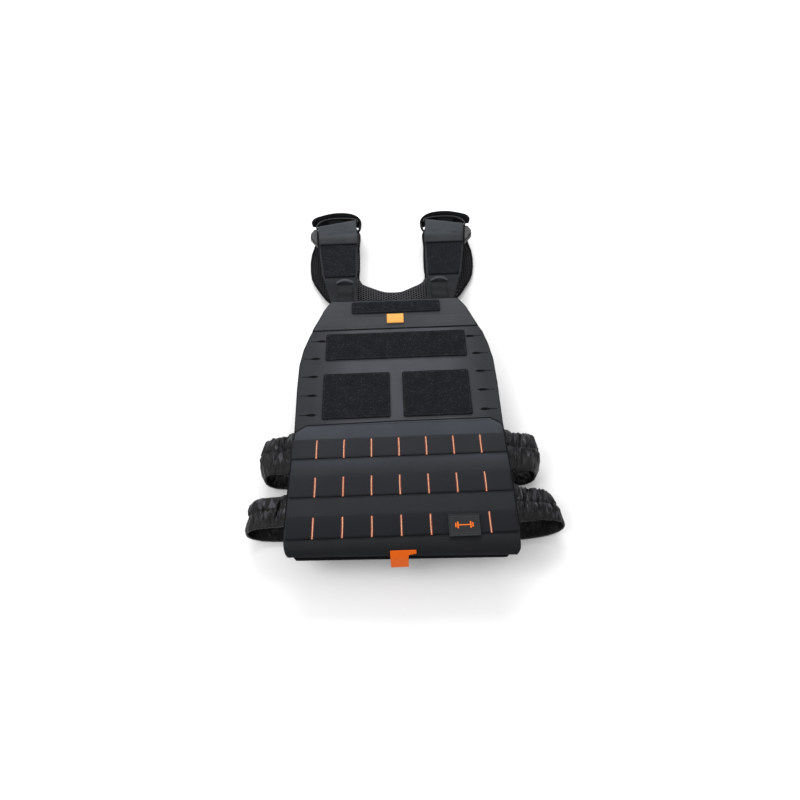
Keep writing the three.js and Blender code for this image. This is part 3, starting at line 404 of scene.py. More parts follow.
def flap_finish():
    """Cloth of the waist flap, with painted shade: darker towards the hem, darker below each webbing row, and
    darkest at the hem.
    """
    finish = nylon_finish("flap_nylon", linear(62, 65, 71))
    finish.faded(ALONG, FLAP_HIGH.y, FLAP_FADE, linear(39, 41, 44))
    # Painted shade below each webbing row, growing over part of the way down to the next row
    first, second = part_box("web_row_1")[0].y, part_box("web_row_2")[0].y
    below = finish.math("SUBTRACT", first, finish.coordinate(ALONG))
    down = finish.math("FRACT", finish.math("DIVIDE", below, first - second))
    below_first = finish.math("GREATER_THAN", below, 0.0)
    shade = finish.math("MULTIPLY", finish.span(down, *ROW_SHADE, 0, ROW_SHADE_DEPTH), below_first)
    finish.tint(shade, linear(36, 38, 41))
    finish.faded(ALONG, FLAP_LOW.y, FLAP_HEM_FADE, linear(24, 25, 27))
    return finish.material


def strap_finish():
    """Strap cloth with painted shade: pale on the folded end, darker below it, and dark at its foot, where it
    lies in the shade below.
    """
    low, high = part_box("strap_pile_left")
    finish = nylon_finish("strap_nylon", linear(62, 65, 69), STRAP_WEAVE)
    finish.faded(ALONG, high.y, STRAP_FOLD_FADE, linear(42, 44, 47))
    finish.faded(ALONG, low.y, STRAP_FOOT_FADE, linear(28, 29, 32))
    return finish.material


def webbing_finish(name, colour):
    """Ribbed webbing with a slanting twill in it."""
    finish = Finish(name, colour, 0.76, specular=0.08)
    finish.uneven(45 * MM, 0.12)
    finish.relief(finish.ribs(1.5 * MM, "Y"), 0.12 * MM)
    finish.relief(finish.ribs(0.9 * MM, "DIAGONAL"), 0.08 * MM)
    return finish


def flap_webbing_finish():
    """Webbing of the waist flap, with painted shade that darkens it from row to row towards the hem."""
    finish = webbing_finish("flap_webbing", linear(42, 43, 47))
    finish.faded(ALONG, FLAP_HIGH.y, FLAP_WEBBING_FADE, linear(26, 27, 30))
    return finish.material


def pile_finish():
    """Loop pile: pale tips and dark hollows on a matt ground."""
    finish = Finish("loop_pile", linear(27, 28, 31), 0.96, specular=0.04)
    finish.tint(finish.span(finish.noise(1.6 * MM, 5), 0.56, 0.74), linear(66, 68, 74))
    finish.tint(finish.span(finish.noise(16 * MM, 2), 0.4, 0.75, 0, 0.6), linear(21, 22, 25))
    finish.relief(finish.noise(1.3 * MM, 6, 1.5), 0.6 * MM)
    finish.relief(finish.cells(0.8 * MM), 0.25 * MM)
    return finish.material


def mesh_finish():
    """Spacer mesh: pale knots set as in a honeycomb on a dark ground, fainter at the sides."""
    finish = Finish("spacer_mesh", linear(13, 13, 15), 0.85, specular=0.05)
    waves = [finish.ribs(MESH_PITCH, "X", finish.turned(third * math.pi / 3)) for third in range(3)]
    total = finish.math("ADD", finish.math("ADD", waves[0], waves[1]), waves[2])
    knots = finish.span(total, *MESH_KNOT_COLOUR)
    clear = finish.span(finish.off_middle(), *MESH_SIDES, 1, MESH_FAINTEST)
    finish.tint(finish.math("MULTIPLY", knots, clear), linear(100, 99, 102))
    finish.relief(finish.span(total, *MESH_KNOT_RISE), 0.7 * MM)
    finish.relief(finish.ribs(0.6 * MM, "DIAGONAL"), 0.06 * MM)
    return finish.material


def satin_finish(node):
    """Satin of a gathered band, with painted highlights in long streaks, and painted shade along its hem and
    seam and on the inside of the turn.
    """
    low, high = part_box(node)
    width, height = high.y - low.y, high.z - low.z
    finish = Finish("gathered_satin", linear(9, 10, 12), 0.36, specular=0.2)
    # Painted highlights: pale streaks drawn out along the band
    highlight_streaks = finish.noise(6 * MM, 2, 0.8, finish.stretched(SATIN_STREAK))
    finish.tint(finish.span(highlight_streaks, 0.52, 0.7), linear(66, 67, 72))
    finish.faded(ALONG, low.y, [share * width for share in BAND_HEM_FADE], linear(8, 9, 9))
    finish.faded(UP, low.z, [share * height for share in BAND_INSIDE_FADE], linear(6, 7, 7))
    seam = high.y - BAND_SEAM_SHARE * width
    beside = finish.math("ABSOLUTE", finish.math("SUBTRACT", finish.coordinate(ALONG), seam))
    finish.tint(finish.span(beside, *BAND_SEAM_SHADE, BAND_SEAM_SHADE_DEPTH, 0), linear(8, 9, 9))
    finish.worn(0.32, 0.52, 12 * MM)
    finish.relief(finish.noise(7 * MM, 3, 0.9, finish.stretched(SATIN_STREAK)), 4 * MM, 0.9)
    woven(finish, SATIN_WEAVE, 0.04 * MM)
    return finish.material


def ribbon_finish(name, colour, shade):
    """Bright ribbon of a pull tab, with blots of a deeper shade."""
    finish = Finish(name, colour, 0.6, specular=0.15)
    finish.tint(finish.span(finish.noise(7 * MM, 3), 0.4, 0.8, 0.0, 0.3), shade)
    finish.relief(finish.ribs(1.1 * MM, "X"), 0.10 * MM)
    finish.relief(finish.ribs(0.7 * MM, "Y"), 0.06 * MM)
    return finish.material


def thread_finish(name, colour, shade):
    """Twisted thread, with a deeper shade between its strands."""
    finish = Finish(name, colour, 0.5, specular=0.3)
    finish.tint(finish.span(finish.noise(1.5 * MM, 2), 0.4, 0.7), shade)
    finish.relief(finish.ribs(0.35 * MM, "DIAGONAL"), 0.08 * MM)
    return finish.material


def moulded_finish(name, colour, roughness, specular=0.15):
    """Moulded plastic or rubber with a fine grain."""
    finish = Finish(name, colour, roughness, specular=specular)
    finish.worn(roughness - 0.08, roughness + 0.12, 9 * MM)
    finish.relief(finish.noise(0.7 * MM, 3), 0.05 * MM)
    return finish.material


PANEL_CLOTH = panel_finish()
CHEST_CLOTH = nylon_finish("chest_nylon", linear(60, 61, 65)).material
DARK_NYLON = nylon_finish("bag_nylon", linear(24, 25, 27)).material
FLAP_CLOTH = flap_finish()
STRAP_CLOTH = strap_finish()
FLAP_WEBBING = flap_webbing_finish()
WEBBING = webbing_finish("webbing", linear(31, 32, 34)).material
# Pale webbing: on the strap keepers its paleness is painted highlight; it also makes the label's pale frame
KEEPER_WEBBING = webbing_finish("keeper_webbing", linear(66, 68, 72)).material
# Dark cord: real binding, and painted shadow lines along sheet and webbing edges
BINDING_AND_SHADOW_CORD = webbing_finish("binding_and_shadow_cord", linear(17, 17, 19)).material
PILE = pile_finish()
MESH = mesh_finish()
# The chest tab's ribbon is the orange ribbon painted paler and yellower, as painted highlight
ORANGE_RIBBON_LIT = ribbon_finish("orange_ribbon_lit", linear(222, 164, 84), linear(212, 136, 60))
ORANGE_RIBBON = ribbon_finish("orange_ribbon", linear(216, 92, 3), linear(196, 78, 2))
# Bar-tack thread, lit and shaded: a pale copy as painted highlight, and a deep copy as painted shade round
# the tacks
ORANGE_THREAD_LIT = thread_finish("orange_thread_lit", linear(250, 204, 168), linear(232, 146, 98))
ORANGE_THREAD_SHADED = thread_finish("orange_thread_shaded", linear(124, 40, 18), linear(70, 22, 14))
DARK_THREAD = thread_finish("dark_thread", linear(52, 53, 57), linear(34, 35, 38))
MOULDED = moulded_finish("moulded_plastic", linear(12, 12, 13), 0.36, 0.2)
RUBBER = moulded_finish("label_rubber", linear(40, 41, 43), 0.6, 0.12)
PRINT = moulded_finish("label_motif", linear(228, 110, 34), 0.5)


def taken(node):
    """A merged copy of a CAD node in quads, ready to be reshaped."""
    bm = bmesh.new()
    bm.from_mesh(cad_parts[node].data)
    bmesh.ops.remove_doubles(bm, verts=bm.verts, dist=SAME_POINT)
    bmesh.ops.join_triangles(bm, faces=bm.faces, angle_face_threshold=QUAD_BEND,
                             angle_shape_threshold=QUAD_SKEW)
    return bm


def sliced(bm, axis, step):
    """Cuts the mesh across at even steps, so that it can bend."""
    low = min(v.co[axis] for v in bm.verts)
    high = max(v.co[axis] for v in bm.verts)
    count = max(1, round((high - low) / step))
    normal = Vector((0, 0, 0))
    normal[axis] = 1
    for k in range(1, count):
        at = normal * (low + (high - low) * k / count)
        geometry = bm.verts[:] + bm.edges[:] + bm.faces[:]
        bmesh.ops.bisect_plane(bm, geom=geometry, dist=SAME_POINT, plane_co=at, plane_no=normal)
    return bm


def lifted(bm, rise):
    """Moves every point up by rise(x, y, z)."""
    for v in bm.verts:
        v.co.z += rise(v.co.x, v.co.y, v.co.z)
    return bm


def wander(x, y, size, seed=0.0):
    """Smooth unevenness from -1 to 1."""
    return noise.noise(Vector((x / size, y / size, seed)))


def waves(x, y, height, size, seed):
    """Smooth unevenness that only lifts, by up to twice the height."""
    return height * (1 + wander(x, y, size, seed))


def groove(distance, width):
    """One on a line, falling to nothing beside it."""
    return math.exp(-((distance / width) ** 2))


def held(value, least=0.0):
    """A value kept between the least and one."""
    return min(1, max(least, value))


def spread(first, last, steps):
    """Even steps from one number to another, both included."""
    return [first + (last - first) * k / steps for k in range(steps + 1)]


def dressed(mesh, name, finish, slot, stands_for=(), smooth=True):
    """A finished piece of the vest made of a mesh."""
    mesh.materials.clear()
    mesh.materials.append(finish)
    mesh.polygons.foreach_set("use_smooth", [smooth] * len(mesh.polygons))
    made = bpy.data.objects.new(name, mesh)
    bpy.context.scene.collection.objects.link(made)
    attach(made, "root")
    if stands_for:
        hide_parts(*stands_for)
    return made


def piece(bm, name, finish, slot, stands_for=(), smooth=True):
    """A finished piece of the vest made of a bmesh, which is used up."""
    mesh = bpy.data.meshes.new(name)
    bm.to_mesh(mesh)
    bm.free()
    return dressed(mesh, name, finish, slot, stands_for, smooth)


def rounded(made, levels=2):
    """Rounds a piece by subdivision, the same on the screen and in a render."""
    modifier = made.modifiers.new("rounding", "SUBSURF")
    modifier.levels = levels
    modifier.render_levels = levels
    return made


def evaluated_mesh(source):
    """The mesh that an object's modifiers or bevel give."""
    graph = bpy.context.evaluated_depsgraph_get()
    return bpy.data.meshes.new_from_object(source.evaluated_get(graph))


def puffed(bm, name, voxel, swell, floor, ceiling):
    """Padded cloth: remeshed, blown up a little as simulated cloth, and capped.

    The bound seam holds its plan, so it gives little sideways."""
    mesh = bpy.data.meshes.new(name + "_form")
    bm.to_mesh(mesh)
    bm.free()
    form = bpy.data.objects.new(name + "_form", mesh)
    bpy.context.scene.collection.objects.link(form)
    remesh = form.modifiers.new("remesh", "REMESH")
    remesh.mode = "VOXEL"
    remesh.voxel_size = voxel
    remesh.use_smooth_shade = True
    form.data = evaluated_mesh(form)
    form.modifiers.clear()
    start = [v.co.copy() for v in form.data.vertices]
    cloth = form.modifiers.new("cloth", "CLOTH")
    cloth.settings.quality = CLOTH_QUALITY
    cloth.settings.mass = CLOTH_MASS
    cloth.settings.tension_stiffness = CLOTH_STIFFNESS
    cloth.settings.use_pressure = True
    cloth.settings.uniform_pressure_force = CLOTH_PRESSURE
    cloth.settings.effector_weights.gravity = 0
    cloth.point_cache.frame_start = 1
    cloth.point_cache.frame_end = CLOTH_FRAMES
    for step in range(1, CLOTH_FRAMES + 1):
        bpy.context.scene.frame_set(step)
    form.data = evaluated_mesh(form)
    form.modifiers.clear()
    bpy.context.scene.frame_set(1)
    mesh = form.data
    bpy.data.objects.remove(form)
    for vertex, before in zip(mesh.vertices, start):
        move = (vertex.co - before) * Vector((SEAM_GIVE, SEAM_GIVE, 1))
        if move.length > swell:
            move *= swell / move.length
        at = before + move
        at.z = min(max(at.z, floor), ceiling)
        vertex.co = at
    return mesh


def outline(node, height):
    """The points where a CAD node is cut by a level plane, in order round it."""
    bm = taken(node)
    geometry = bm.verts[:] + bm.edges[:] + bm.faces[:]
    plane = Vector((0, 0, height))
    cut = bmesh.ops.bisect_plane(bm, geom=geometry, dist=SAME_POINT, plane_co=plane, plane_no=(0, 0, 1))
    bm.edges.index_update()
    waiting = {e.index: e for e in cut["geom_cut"] if isinstance(e, bmesh.types.BMEdge)}
    longest = []
    while waiting:
        edge = waiting.pop(min(waiting))
        points = [edge.verts[0], edge.verts[1]]
        while following := [e for e in points[-1].link_edges if e.index in waiting]:
            waiting.pop(following[0].index)
            points.append(following[0].other_vert(points[-1]))
        if len(points) > len(longest):
            longest = points
    line = [v.co.copy() for v in longest]
    bm.free()
    if (line[0] - line[-1]).length < SAME_POINT:
        line.pop()
    return line


def tube(points, radius, name, closed=False):
    """A round cord along points, as a mesh."""
    curve = bpy.data.curves.new(name + "_line", "CURVE")
    curve.dimensions = "3D"
    curve.bevel_depth = radius
    curve.bevel_resolution = TAPE_ROUNDING
    curve.use_fill_caps = not closed
    spline = curve.splines.new("POLY")
    spline.points.add(len(points) - 1)
    for point, at in zip(spline.points, points):
        point.co = (*at, 1)
    spline.use_cyclic_u = closed
    line = bpy.data.objects.new(name + "_line", curve)
    bpy.context.scene.collection.objects.link(line)
    mesh = evaluated_mesh(line)
    bpy.data.objects.remove(line)
    return mesh


def dark_cord(line, radius, name, closed=True):
    """A piece of dark cord along a line: real binding, or a painted shadow line along an edge."""
    dressed(tube(line, radius, name, closed), name, BINDING_AND_SHADOW_CORD, "webbing")


def edged(node, name, height, above=None):
    """A painted shadow line of dark cord along the edge of a sheet: all round, or only on the head side of a
    place.
    """
    line = outline(node, height)
    if above is not None:
        low = [k for k, point in enumerate(line) if point.y < above]
        turn = max(k for k in low if line[(k + 1) % len(line)].y >= above) + 1
        line = [point for point in line[turn:] + line[:turn] if point.y >= above]
    dark_cord(line, EDGE_RADIUS, name, closed=above is None)


def spaced(points, pitch, closed=False):
    """Places at an even pitch along a line of points, each with its direction."""
    line = list(points) + ([points[0]] if closed else [])
    travelled = 0.0
    following = pitch / 2
    for a, b in zip(line, line[1:]):
        length = (b - a).length
        while length > 0 and following <= travelled + length:
            yield a.lerp(b, (following - travelled) / length), (b - a).normalized()
            following += pitch
        travelled += length


def sewn(bm, points, closed=False):
    """A row of stitches, each a small rounded grain of thread."""
    size = Matrix.Diagonal((STITCH_LENGTH / 2, STITCH_RADIUS, STITCH_RADIUS, 1))
    for at, direction in spaced(points, STITCH_PITCH, closed):
        turn = direction.to_track_quat("X", "Z").to_matrix().to_4x4()
        bmesh.ops.create_icosphere(bm, subdivisions=1, radius=1, matrix=Matrix.Translation(at) @ turn @ size)


def rectangle(low, high, inset, z):
    """The four corners of a level rectangle inside a box."""
    x0, x1, y0, y1 = low.x + inset, high.x - inset, low.y + inset, high.y - inset
    return [Vector((x0, y0, z)), Vector((x1, y0, z)), Vector((x1, y1, z)), Vector((x0, y1, z))]


def block(bm, centre, size):
    """A brick with its sides along the axes."""
    matrix = Matrix.Translation(centre) @ Matrix.Diagonal((*size, 1))
    bmesh.ops.create_cube(bm, size=1, matrix=matrix)


def softened(bm, width, edges=None):
    """Rounds the edges that are given, or all of them."""
    geometry = bm.verts[:] + bm.edges[:] if edges is None else edges
    bmesh.ops.bevel(bm, geom=geometry, offset=width, offset_type="OFFSET", affect="EDGES",
                    segments=2, profile=0.5, material=-1)
    return bm


# Camera and light
def set_camera():
    low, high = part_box("pile_wide")
    data = bpy.data.cameras.new("camera")
    data.lens = LENS_MM
    data.sensor_width = SENSOR_MM
    data.sensor_fit = "HORIZONTAL"
    camera = bpy.data.objects.new("camera", data)
    forward = Vector((0, math.cos(CAMERA_PITCH), -math.sin(CAMERA_PITCH)))
    level = Vector((1, 0, 0))
    up = level.cross(forward)
    side = level * math.cos(CAMERA_ROLL) + up * math.sin(CAMERA_ROLL)
    top = up * math.cos(CAMERA_ROLL) - level * math.sin(CAMERA_ROLL)
    turn = Matrix((side, top, -forward)).transposed().to_4x4()
    camera.matrix_world = Matrix.Translation((low + high) / 2 + CAMERA_OFFSET) @ turn
    bpy.context.scene.collection.objects.link(camera)
    bpy.context.scene.camera = camera


def soft_box(name, place, target, sides, power):
    data = bpy.data.lights.new(name, "AREA")
    data.shape = "RECTANGLE"
    data.size, data.size_y = sides
    data.energy = power
    lamp = bpy.data.objects.new(name, data)
    direction = Vector(target) - Vector(place)
    lamp.matrix_world = Matrix.Translation(place) @ direction.to_track_quat("-Z", "Y").to_matrix().to_4x4()
    bpy.context.scene.collection.objects.link(lamp)


def set_studio():
    world = bpy.data.worlds.new("studio")
    world.use_nodes = True
    world.node_tree.nodes["Background"].inputs["Color"].default_value = (1, 1, 1, 1)
    world.node_tree.nodes["Background"].inputs["Strength"].default_value = SKY_STRENGTH
    bpy.context.scene.world = world
    bpy.context.scene.view_settings.view_transform = "Standard"
    soft_box("head_light", *HEAD_LIGHT)
    soft_box("left_light", *LEFT_LIGHT)
    bm = bmesh.new()
    bmesh.ops.create_grid(bm, x_segments=2, y_segments=2, size=FLOOR_REACH)
    mesh = bpy.data.meshes.new("floor")
    bm.to_mesh(mesh)
    bm.free()
    pale = Finish("pale_floor", (0.93, 0.93, 0.93, 1), 0.9, specular=0.1)
    mesh.materials.append(pale.material)
    floor = bpy.data.objects.new("floor", mesh)
    bpy.context.scene.collection.objects.link(floor)


# Padded bags
def make_bags():
    for side, room in (("front", 0), ("back", BACK_BAG_ROOM)):
        node = f"{side}_panel"
        low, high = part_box(node)
        form = puffed(taken(node), f"{side}_bag", BAG_VOXEL, BAG_SWELL, low.z, high.z + room)
        bag = dressed(form, f"{side}_bag", DARK_NYLON, "nylon", [node])
        rounded(bag, 1)
    for side in ("front", "back"):
        node = f"{side}_panel"
        low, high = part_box(node)
        line = outline(node, (low.z + high.z) / 2 + BAG_BINDING_RISE)
        dark_cord(line, BINDING_RADIUS, f"{side}_binding")


# Face cloth with its cut slots
def make_face():
    low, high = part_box("slotted_sheet")
    bm = taken("slotted_sheet")
    sliced(bm, ACROSS, SLICE)
    sliced(bm, ALONG, SLICE)
    lifted(bm, lambda x, y, z: waves(x, y, *FACE_WAVES))
    face = piece(bm, "face_cloth", PANEL_CLOTH, "nylon", ["slotted_sheet"], smooth=False)
    # Painted shadow line along the sheet's edge
    edged("slotted_sheet", "face_edge_shadow", high.z - FACE_EDGE_DROP)


def make_chest_flap():
    low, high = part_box("chest_flap")
    middle = (low.x + high.x) / 2
    width, length = high.x - low.x, high.y - low.y
    bm = taken("chest_flap")
    sliced(bm, ACROSS, SLICE)
    sliced(bm, ALONG, FINE_SLICE)
    seams = [low.y + step for step in CHEST_SEAMS]

    def rise(x, y, z):
        return waves(x, y, *CHEST_WAVES) + sum(-SEAM_DEPTH * groove(y - seam, SEAM_WIDTH) for seam in seams)

    lifted(bm, rise)
    flap = piece(bm, "chest_cover", CHEST_CLOTH, "nylon", ["chest_flap"])
    threads = bmesh.new()
    z = high.z + STITCH_RISE
    for seam in seams:
        reach = 0.5 * width - CHEST_SEAM_INSET - (seam - low.y) * CHEST_NARROWING
        sewn(threads, [Vector((middle - reach, seam, z)), Vector((middle + reach, seam, z))])
    piece(threads, "chest_stitching", DARK_THREAD, "webbing")
    # Painted shadow line along the flap's edge
    edged("chest_flap", "chest_edge_shadow", high.z - CHEST_EDGE_DROP)


def make_piles():
    threads = bmesh.new()
    for node in ("pile_top", "pile_wide", "pile_left", "pile_right"):
        low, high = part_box(node)
        bm = taken(node)
        sliced(bm, ACROSS, FINE_SLICE)
        sliced(bm, ALONG, FINE_SLICE)
        middle = (low.z + high.z) / 2

        def fuzz(x, y, z):
            if z < middle:
                return 0
            rim = min(x - low.x, high.x - x, y - low.y, high.y - y)
            hem = -PILE_HEM_DEPTH * groove(rim - PILE_STITCH_INSET, PILE_HEM_WIDTH)
            grain = PILE_GRAIN * wander(x, y, PILE_GRAIN_SIZE)
            return hem + PILE_RISE + grain + PILE_DENT * wander(x, y, PILE_DENT_SIZE)

        lifted(bm, fuzz)
        piece(bm, node.replace("pile", "loop_patch"), PILE, "pile", [node])
        sewn(threads, rectangle(low, high, PILE_STITCH_INSET, high.z + PILE_STITCH_RISE), closed=True)
    piece(threads, "patch_stitching", DARK_THREAD, "webbing")


# Waist flap, webbing, bar tacks and label
def make_waist_flap():
    low, high = FLAP_LOW, FLAP_HIGH
    bm = taken("waist_flap")
    sliced(bm, ACROSS, SLICE)
    sliced(bm, ALONG, SLICE)

    def rise(x, y, z):
        return waves(x, y, *WAIST_WAVES) if z > high.z - WAIST_TOP_DEPTH else 0

    lifted(bm, rise)
    flap = piece(bm, "waist_cover", FLAP_CLOTH, "flap_cloth", ["waist_flap"])
    threads = bmesh.new()
    z = high.z + WAIST_STITCH_RISE
    inset = WAIST_STITCH_INSET
    for side in (low.x + inset, high.x - inset):
        lean = math.copysign(WAIST_STITCH_LEAN, -side)
        foot = Vector((side, low.y + WAIST_STITCH_FOOT, z))
        head = Vector((side + lean, high.y - WAIST_CHAMFER + inset, z))
        sewn(threads, [foot, head])
    top = high.y - inset
    left, right = low.x + WAIST_CHAMFER + inset, high.x - WAIST_CHAMFER
    sewn(threads, [Vector((left, top, z)), Vector((right, top, z))])
    piece(threads, "waist_stitching", DARK_THREAD, "webbing")
    # Painted shadow line along the flap's edge, on its head side
    edged("waist_flap", "waist_edge_shadow", high.z - WAIST_EDGE_DROP, above=low.y + WAIST_EDGE_START)


def web_arch(x):
    """Nothing at a bar tack and one halfway between two."""
    return abs(math.sin(math.pi * x / TACK_PITCH))


def web_lift(x, share, flat):
    """How far the webbing stands off the flap at x; share runs from its hem edge to its head edge."""
    if flat[0] < x < flat[1]:
        return 0.0
    uneven = WEB_UNEVEN * wander(x, share * WEB_WAVES_ALONG, WEB_WAVE_SIZE, WEB_SEED)
    loose = WEB_TIGHT + WEB_LOOSER_AT_HEM * (1 - share) + uneven
    return WEB_BULGE * web_arch(x) ** WEB_FULLNESS * loose


def make_webbing():
    """The three rows; under the label its row lies flat and has no tacks."""
    label_low, label_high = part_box("label_patch")
    middle = (FLAP_LOW.x + FLAP_HIGH.x) / 2
    label_flat = (label_low.x - middle - LABEL_CLEARANCE, label_high.x - middle + LABEL_CLEARANCE)
    tacks = bmesh.new()
    tack_shades = bmesh.new()
    for row in (1, 2, 3):
        flat = label_flat if row == LABEL_ROW else NOWHERE
        low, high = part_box(f"web_row_{row}")
        centre = Vector((middle, (low.y + high.y) / 2, low.z + WEB_THICKNESS))
        web_row(f"web_row_{row}", f"webbing_row_{row}", centre, flat)
        # A painted shadow line of dark cord along the row's hem edge
        hem = [Vector((middle + x, low.y, low.z + WEB_SHADOW_LINE_RISE + web_lift(x, 0, flat)))
               for x in spread(low.x - middle, high.x - middle, WEB_COLUMNS)]
        dark_cord(hem, WEB_SHADOW_LINE_RADIUS, f"webbing_hem_{row}", closed=False)
        for k in range(-TACKS_EACH_SIDE, TACKS_EACH_SIDE + 1):
            x = k * TACK_PITCH
            if not flat[0] < x < flat[1]:
                place = Vector((middle + x, centre.y - TACK_DROP, centre.z))
                # No two tacks bend quite alike
                chance = math.sin(5.3 * k + 2.1 * row)
                bar_tack(tacks, place, chance)
                # Under the tack, a dark block of thread as painted shade
                block(tack_shades, place, (TACK_SHADE_WIDTH, TACK_LENGTH + TACK_HALF_WIDTH, TACK_SHADE_THICKNESS))
    piece(tacks, "bar_tacks", ORANGE_THREAD_LIT, "orange_webbing")
    piece(softened(tack_shades, TACK_SHADE_SOFTNESS), "bar_tack_shades", ORANGE_THREAD_SHADED, "orange_webbing")


def web_row(node, name, centre, flat):
    """One row of webbing, which bulges between its bar tacks and droops a little at its hem edge."""
    low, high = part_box(node)
    bm = bmesh.new()
    bmesh.ops.create_grid(bm, x_segments=WEB_COLUMNS, y_segments=WEB_LINES, size=0.5,
                          matrix=Matrix.Translation(centre))
    for v in bm.verts:
        across, share = v.co.x - centre.x, v.co.y - centre.y + 0.5
        x = across * (high.x - low.x)
        edge = abs(2 * share - 1)
        roll = WEB_ROLL * max(0, edge - WEB_ROLL_START)
        droop = WEB_DROOP * (1 - share) * web_arch(x)
        y = low.y + share * (high.y - low.y) - droop
        v.co = Vector((centre.x + x, y, centre.z - roll + web_lift(x, share, flat)))
    bmesh.ops.solidify(bm, geom=bm.faces[:], thickness=WEB_THICKNESS)
    bmesh.ops.recalc_face_normals(bm, faces=bm.faces)
    piece(bm, name, FLAP_WEBBING, "webbing", [node])


def bar_tack(bm, centre, chance):
    """A close column of satin stitches over the webbing, bent a little by chance."""
    step = TACK_LENGTH / TACK_STITCHES
    size = Matrix.Diagonal((TACK_HALF_WIDTH, TACK_STITCH_FULLNESS * step, TACK_FLATNESS * TACK_HALF_WIDTH, 1))
    for k in range(TACK_STITCHES):
        share = (k + 0.5) / TACK_STITCHES - 0.5
        bend = TACK_BEND * chance * math.cos(TACK_BEND_TURN * share)
        at = centre + Vector((bend, share * TACK_LENGTH, TACK_RISE))
        turn = Matrix.Rotation(TACK_SLANT if k % 2 else -TACK_SLANT, 4, "Z")
        bmesh.ops.create_icosphere(bm, subdivisions=1, radius=1, matrix=Matrix.Translation(at) @ turn @ size)


def make_label():
    low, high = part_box("label_patch")
    centre = (low + high) / 2
    bm = bmesh.new()
    block(bm, centre, high - low)
    softened(bm, LABEL_SOFTNESS)
    top = max(bm.faces, key=lambda face: (round(face.normal.z, 3), face.calc_area()))
    for inset, rise in LABEL_STEPS:
        bmesh.ops.inset_region(bm, faces=[top], thickness=inset, depth=0, use_even_offset=True)
        bmesh.ops.translate(bm, verts=top.verts, vec=(0, 0, rise))
    face_height = top.calc_center_median().z
    piece(bm, "label_plate", RUBBER, "label_rubber", ["label_patch"], smooth=False)
    line = rectangle(low, high, LABEL_FRAME_INSET, face_height)
    border = tube(line, LABEL_FRAME_RADIUS, "label_frame", closed=True)
    dressed(border, "label_frame", KEEPER_WEBBING, "label_rubber")
    motif = bmesh.new()
    parts = [MOTIF_HANDLE]
    for place, width, height in MOTIF_PLATES:
        parts += [(-place, width, height), (place, width, height)]
    for place, width, height in parts:
        block(motif, Vector((centre.x + place, centre.y, face_height)), (width, height, MOTIF_DEPTH))
    softened(motif, MOTIF_SOFTNESS)
    piece(motif, "label_motif", PRINT, "orange_webbing", smooth=False)


def make_tabs():
    # The chest tab takes the paler ribbon, a painted highlight
    for node, finish in (("chest_tab", ORANGE_RIBBON_LIT), ("hem_tab", ORANGE_RIBBON)):
        bm = taken(node)
        softened(bm, TAB_SOFTNESS, [e for e in bm.edges if e.calc_face_angle(0) > SHARP_ANGLE])
        piece(bm, node.replace("tab", "pull_tab"), finish, "orange_webbing", [node], smooth=False)


# Gathered side bands
def make_bands():
    for height in ("upper", "lower"):
        for hand in HANDS:
            make_band(f"side_band_{height}_{hand}", BAND_SEEDS[hand])


def make_band(node, seed):
    """One band, creased across from its seam to its edges and smooth near the floor."""
    low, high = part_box(node)
    width, height = high.y - low.y, high.z - low.z
    bm = taken(node)
    bmesh.ops.subdivide_edges(bm, edges=bm.edges[:], cuts=BAND_CUTS, use_grid_fill=True)
    for _ in range(BAND_SMOOTHINGS):
        bmesh.ops.smooth_vert(bm, verts=bm.verts, factor=0.5, use_axis_x=True, use_axis_z=True)
    bm.normal_update()
    seam = high.y - BAND_SEAM_SHARE * width
    moves = []
    for v in bm.verts:
        x, y, z = v.co
        fan = BAND_FAN * (y - seam) * math.sin(BAND_FAN_TURNS * x)
        along = (abs(x) - z + fan) / BAND_WRINKLE_PITCH
        ridge = abs(noise.noise(Vector((along, y / BAND_WRINKLE_RUN, seed))))
        crease = noise.noise(Vector((BAND_CREASE_PITCH * along, y / (BAND_CREASE_RUN * BAND_WRINKLE_RUN),
                                     seed + BAND_CREASE_SEED)))
        off_floor = held((z - low.z) / height * BAND_FLOOR_GROWTH - BAND_FLOOR_START)
        off_rim = held(min(y - low.y, high.y - y) / BAND_RIM, BAND_RIM_LEAST)
        off_hem = held((y - low.y) / (BAND_HEM_SHARE * width) - BAND_HEM_START, BAND_HEM_LEAST)
        rise = BAND_WRINKLE * (BAND_CREST - BAND_VALLEY * ridge + BAND_CREASE * crease) * off_rim * off_hem
        rise -= BAND_SEAM_DEPTH * groove(y - seam, BAND_SEAM_WIDTH)
        moves.append(v.normal * rise * off_floor)
    for v, move in zip(bm.verts, moves):
        v.co += move
        v.co.z = max(v.co.z, low.z)
    name = node.replace("side_band", "gathered_band")
    band = piece(bm, name, satin_finish(node), "gathered_elastic", [node])


# Shoulder yoke, straps and their moulded parts
def make_yoke():
    low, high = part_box("yoke_pad")
    form = puffed(taken("yoke_pad"), "yoke", YOKE_VOXEL, YOKE_SWELL, low.z, high.z + YOKE_ROOM)
    yoke = dressed(form, "shoulder_yoke", MESH, "mesh_lining", ["yoke_pad"])
    rounded(yoke, 1)
    dark_cord(outline("yoke_pad", low.z + YOKE_BINDING_HEIGHT), BINDING_RADIUS, "yoke_binding")


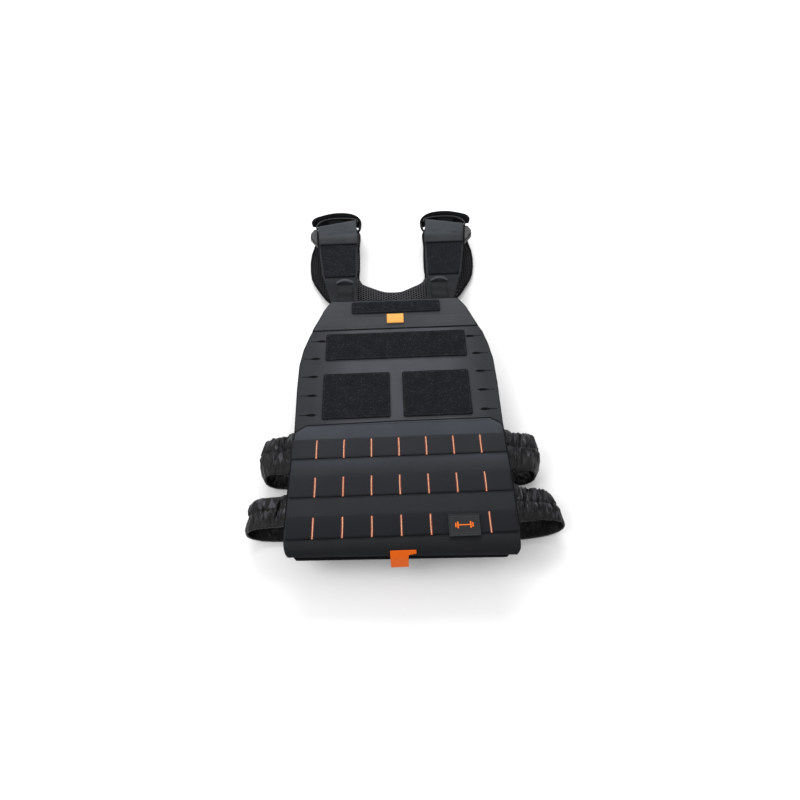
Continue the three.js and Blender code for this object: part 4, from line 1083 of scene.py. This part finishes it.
def make_strap(hand):
    node = f"shoulder_strap_{hand}"
    bm = taken(node)
    sliced(bm, ALONG, STRAP_SLICE)
    sliced(bm, ACROSS, SLICE)
    for _ in range(STRAP_SMOOTHINGS):
        bmesh.ops.smooth_vert(bm, verts=bm.verts, factor=0.5, use_axis_z=True)
    piece(bm, node.replace("shoulder", "folded"), STRAP_CLOTH, "strap_cloth", [node])
    node = f"strap_pile_{hand}"
    bm = taken(node)
    sliced(bm, ALONG, FINE_SLICE)
    sliced(bm, ACROSS, FINE_SLICE)
    lifted(bm, lambda x, y, z: waves(x, y, *STRAP_PILE_WAVES))
    piece(bm, node.replace("pile", "loop_pile"), PILE, "pile", [node])


def folded_stub(bm):
    """The stub's loose webbing: it stands off the strap's foot in soft folds."""
    sliced(sliced(bm, ALONG, FINE_SLICE), ACROSS, FINE_SLICE)
    low = min(v.co.y for v in bm.verts)
    high = max(v.co.y for v in bm.verts)

    def rise(x, y, z):
        share = (y - low) / (high - low)
        fold = STUB_FOLD * math.cos(STUB_FOLD_TURNS * share + STUB_FOLD_SKEW * x)
        return math.sin(math.pi * share) * (STUB_BULGE + fold)

    return lifted(bm, rise)


def make_fittings(hand):
    # The keepers take the pale webbing, whose paleness is painted highlight along their folds
    for node, finish, slot in (
        (f"strap_ring_{hand}", MOULDED, "moulded"),
        (f"pad_tip_{hand}", DARK_NYLON, "mesh_lining"),
        (f"ring_loop_{hand}", WEBBING, "webbing"),
        (f"strap_stub_{hand}", WEBBING, "webbing"),
        (f"strap_keeper_{hand}", KEEPER_WEBBING, "webbing"),
    ):
        bm = taken(node)
        if node.startswith("strap_stub"):
            folded_stub(bm)
        made = piece(bm, node + "_finished", finish, slot, [node])
        rounded(made)
    bm = softened(taken(f"release_latch_{hand}"), LATCH_SOFTNESS)
    piece(bm, f"latch_{hand}", MOULDED, "moulded", [f"release_latch_{hand}"], smooth=False)


set_camera()
set_studio()
make_bags()
make_face()
make_chest_flap()
make_piles()
make_waist_flap()
make_webbing()
make_label()
make_tabs()
make_bands()
make_yoke()
for hand in HANDS:
    make_strap(hand)
    make_fittings(hand)
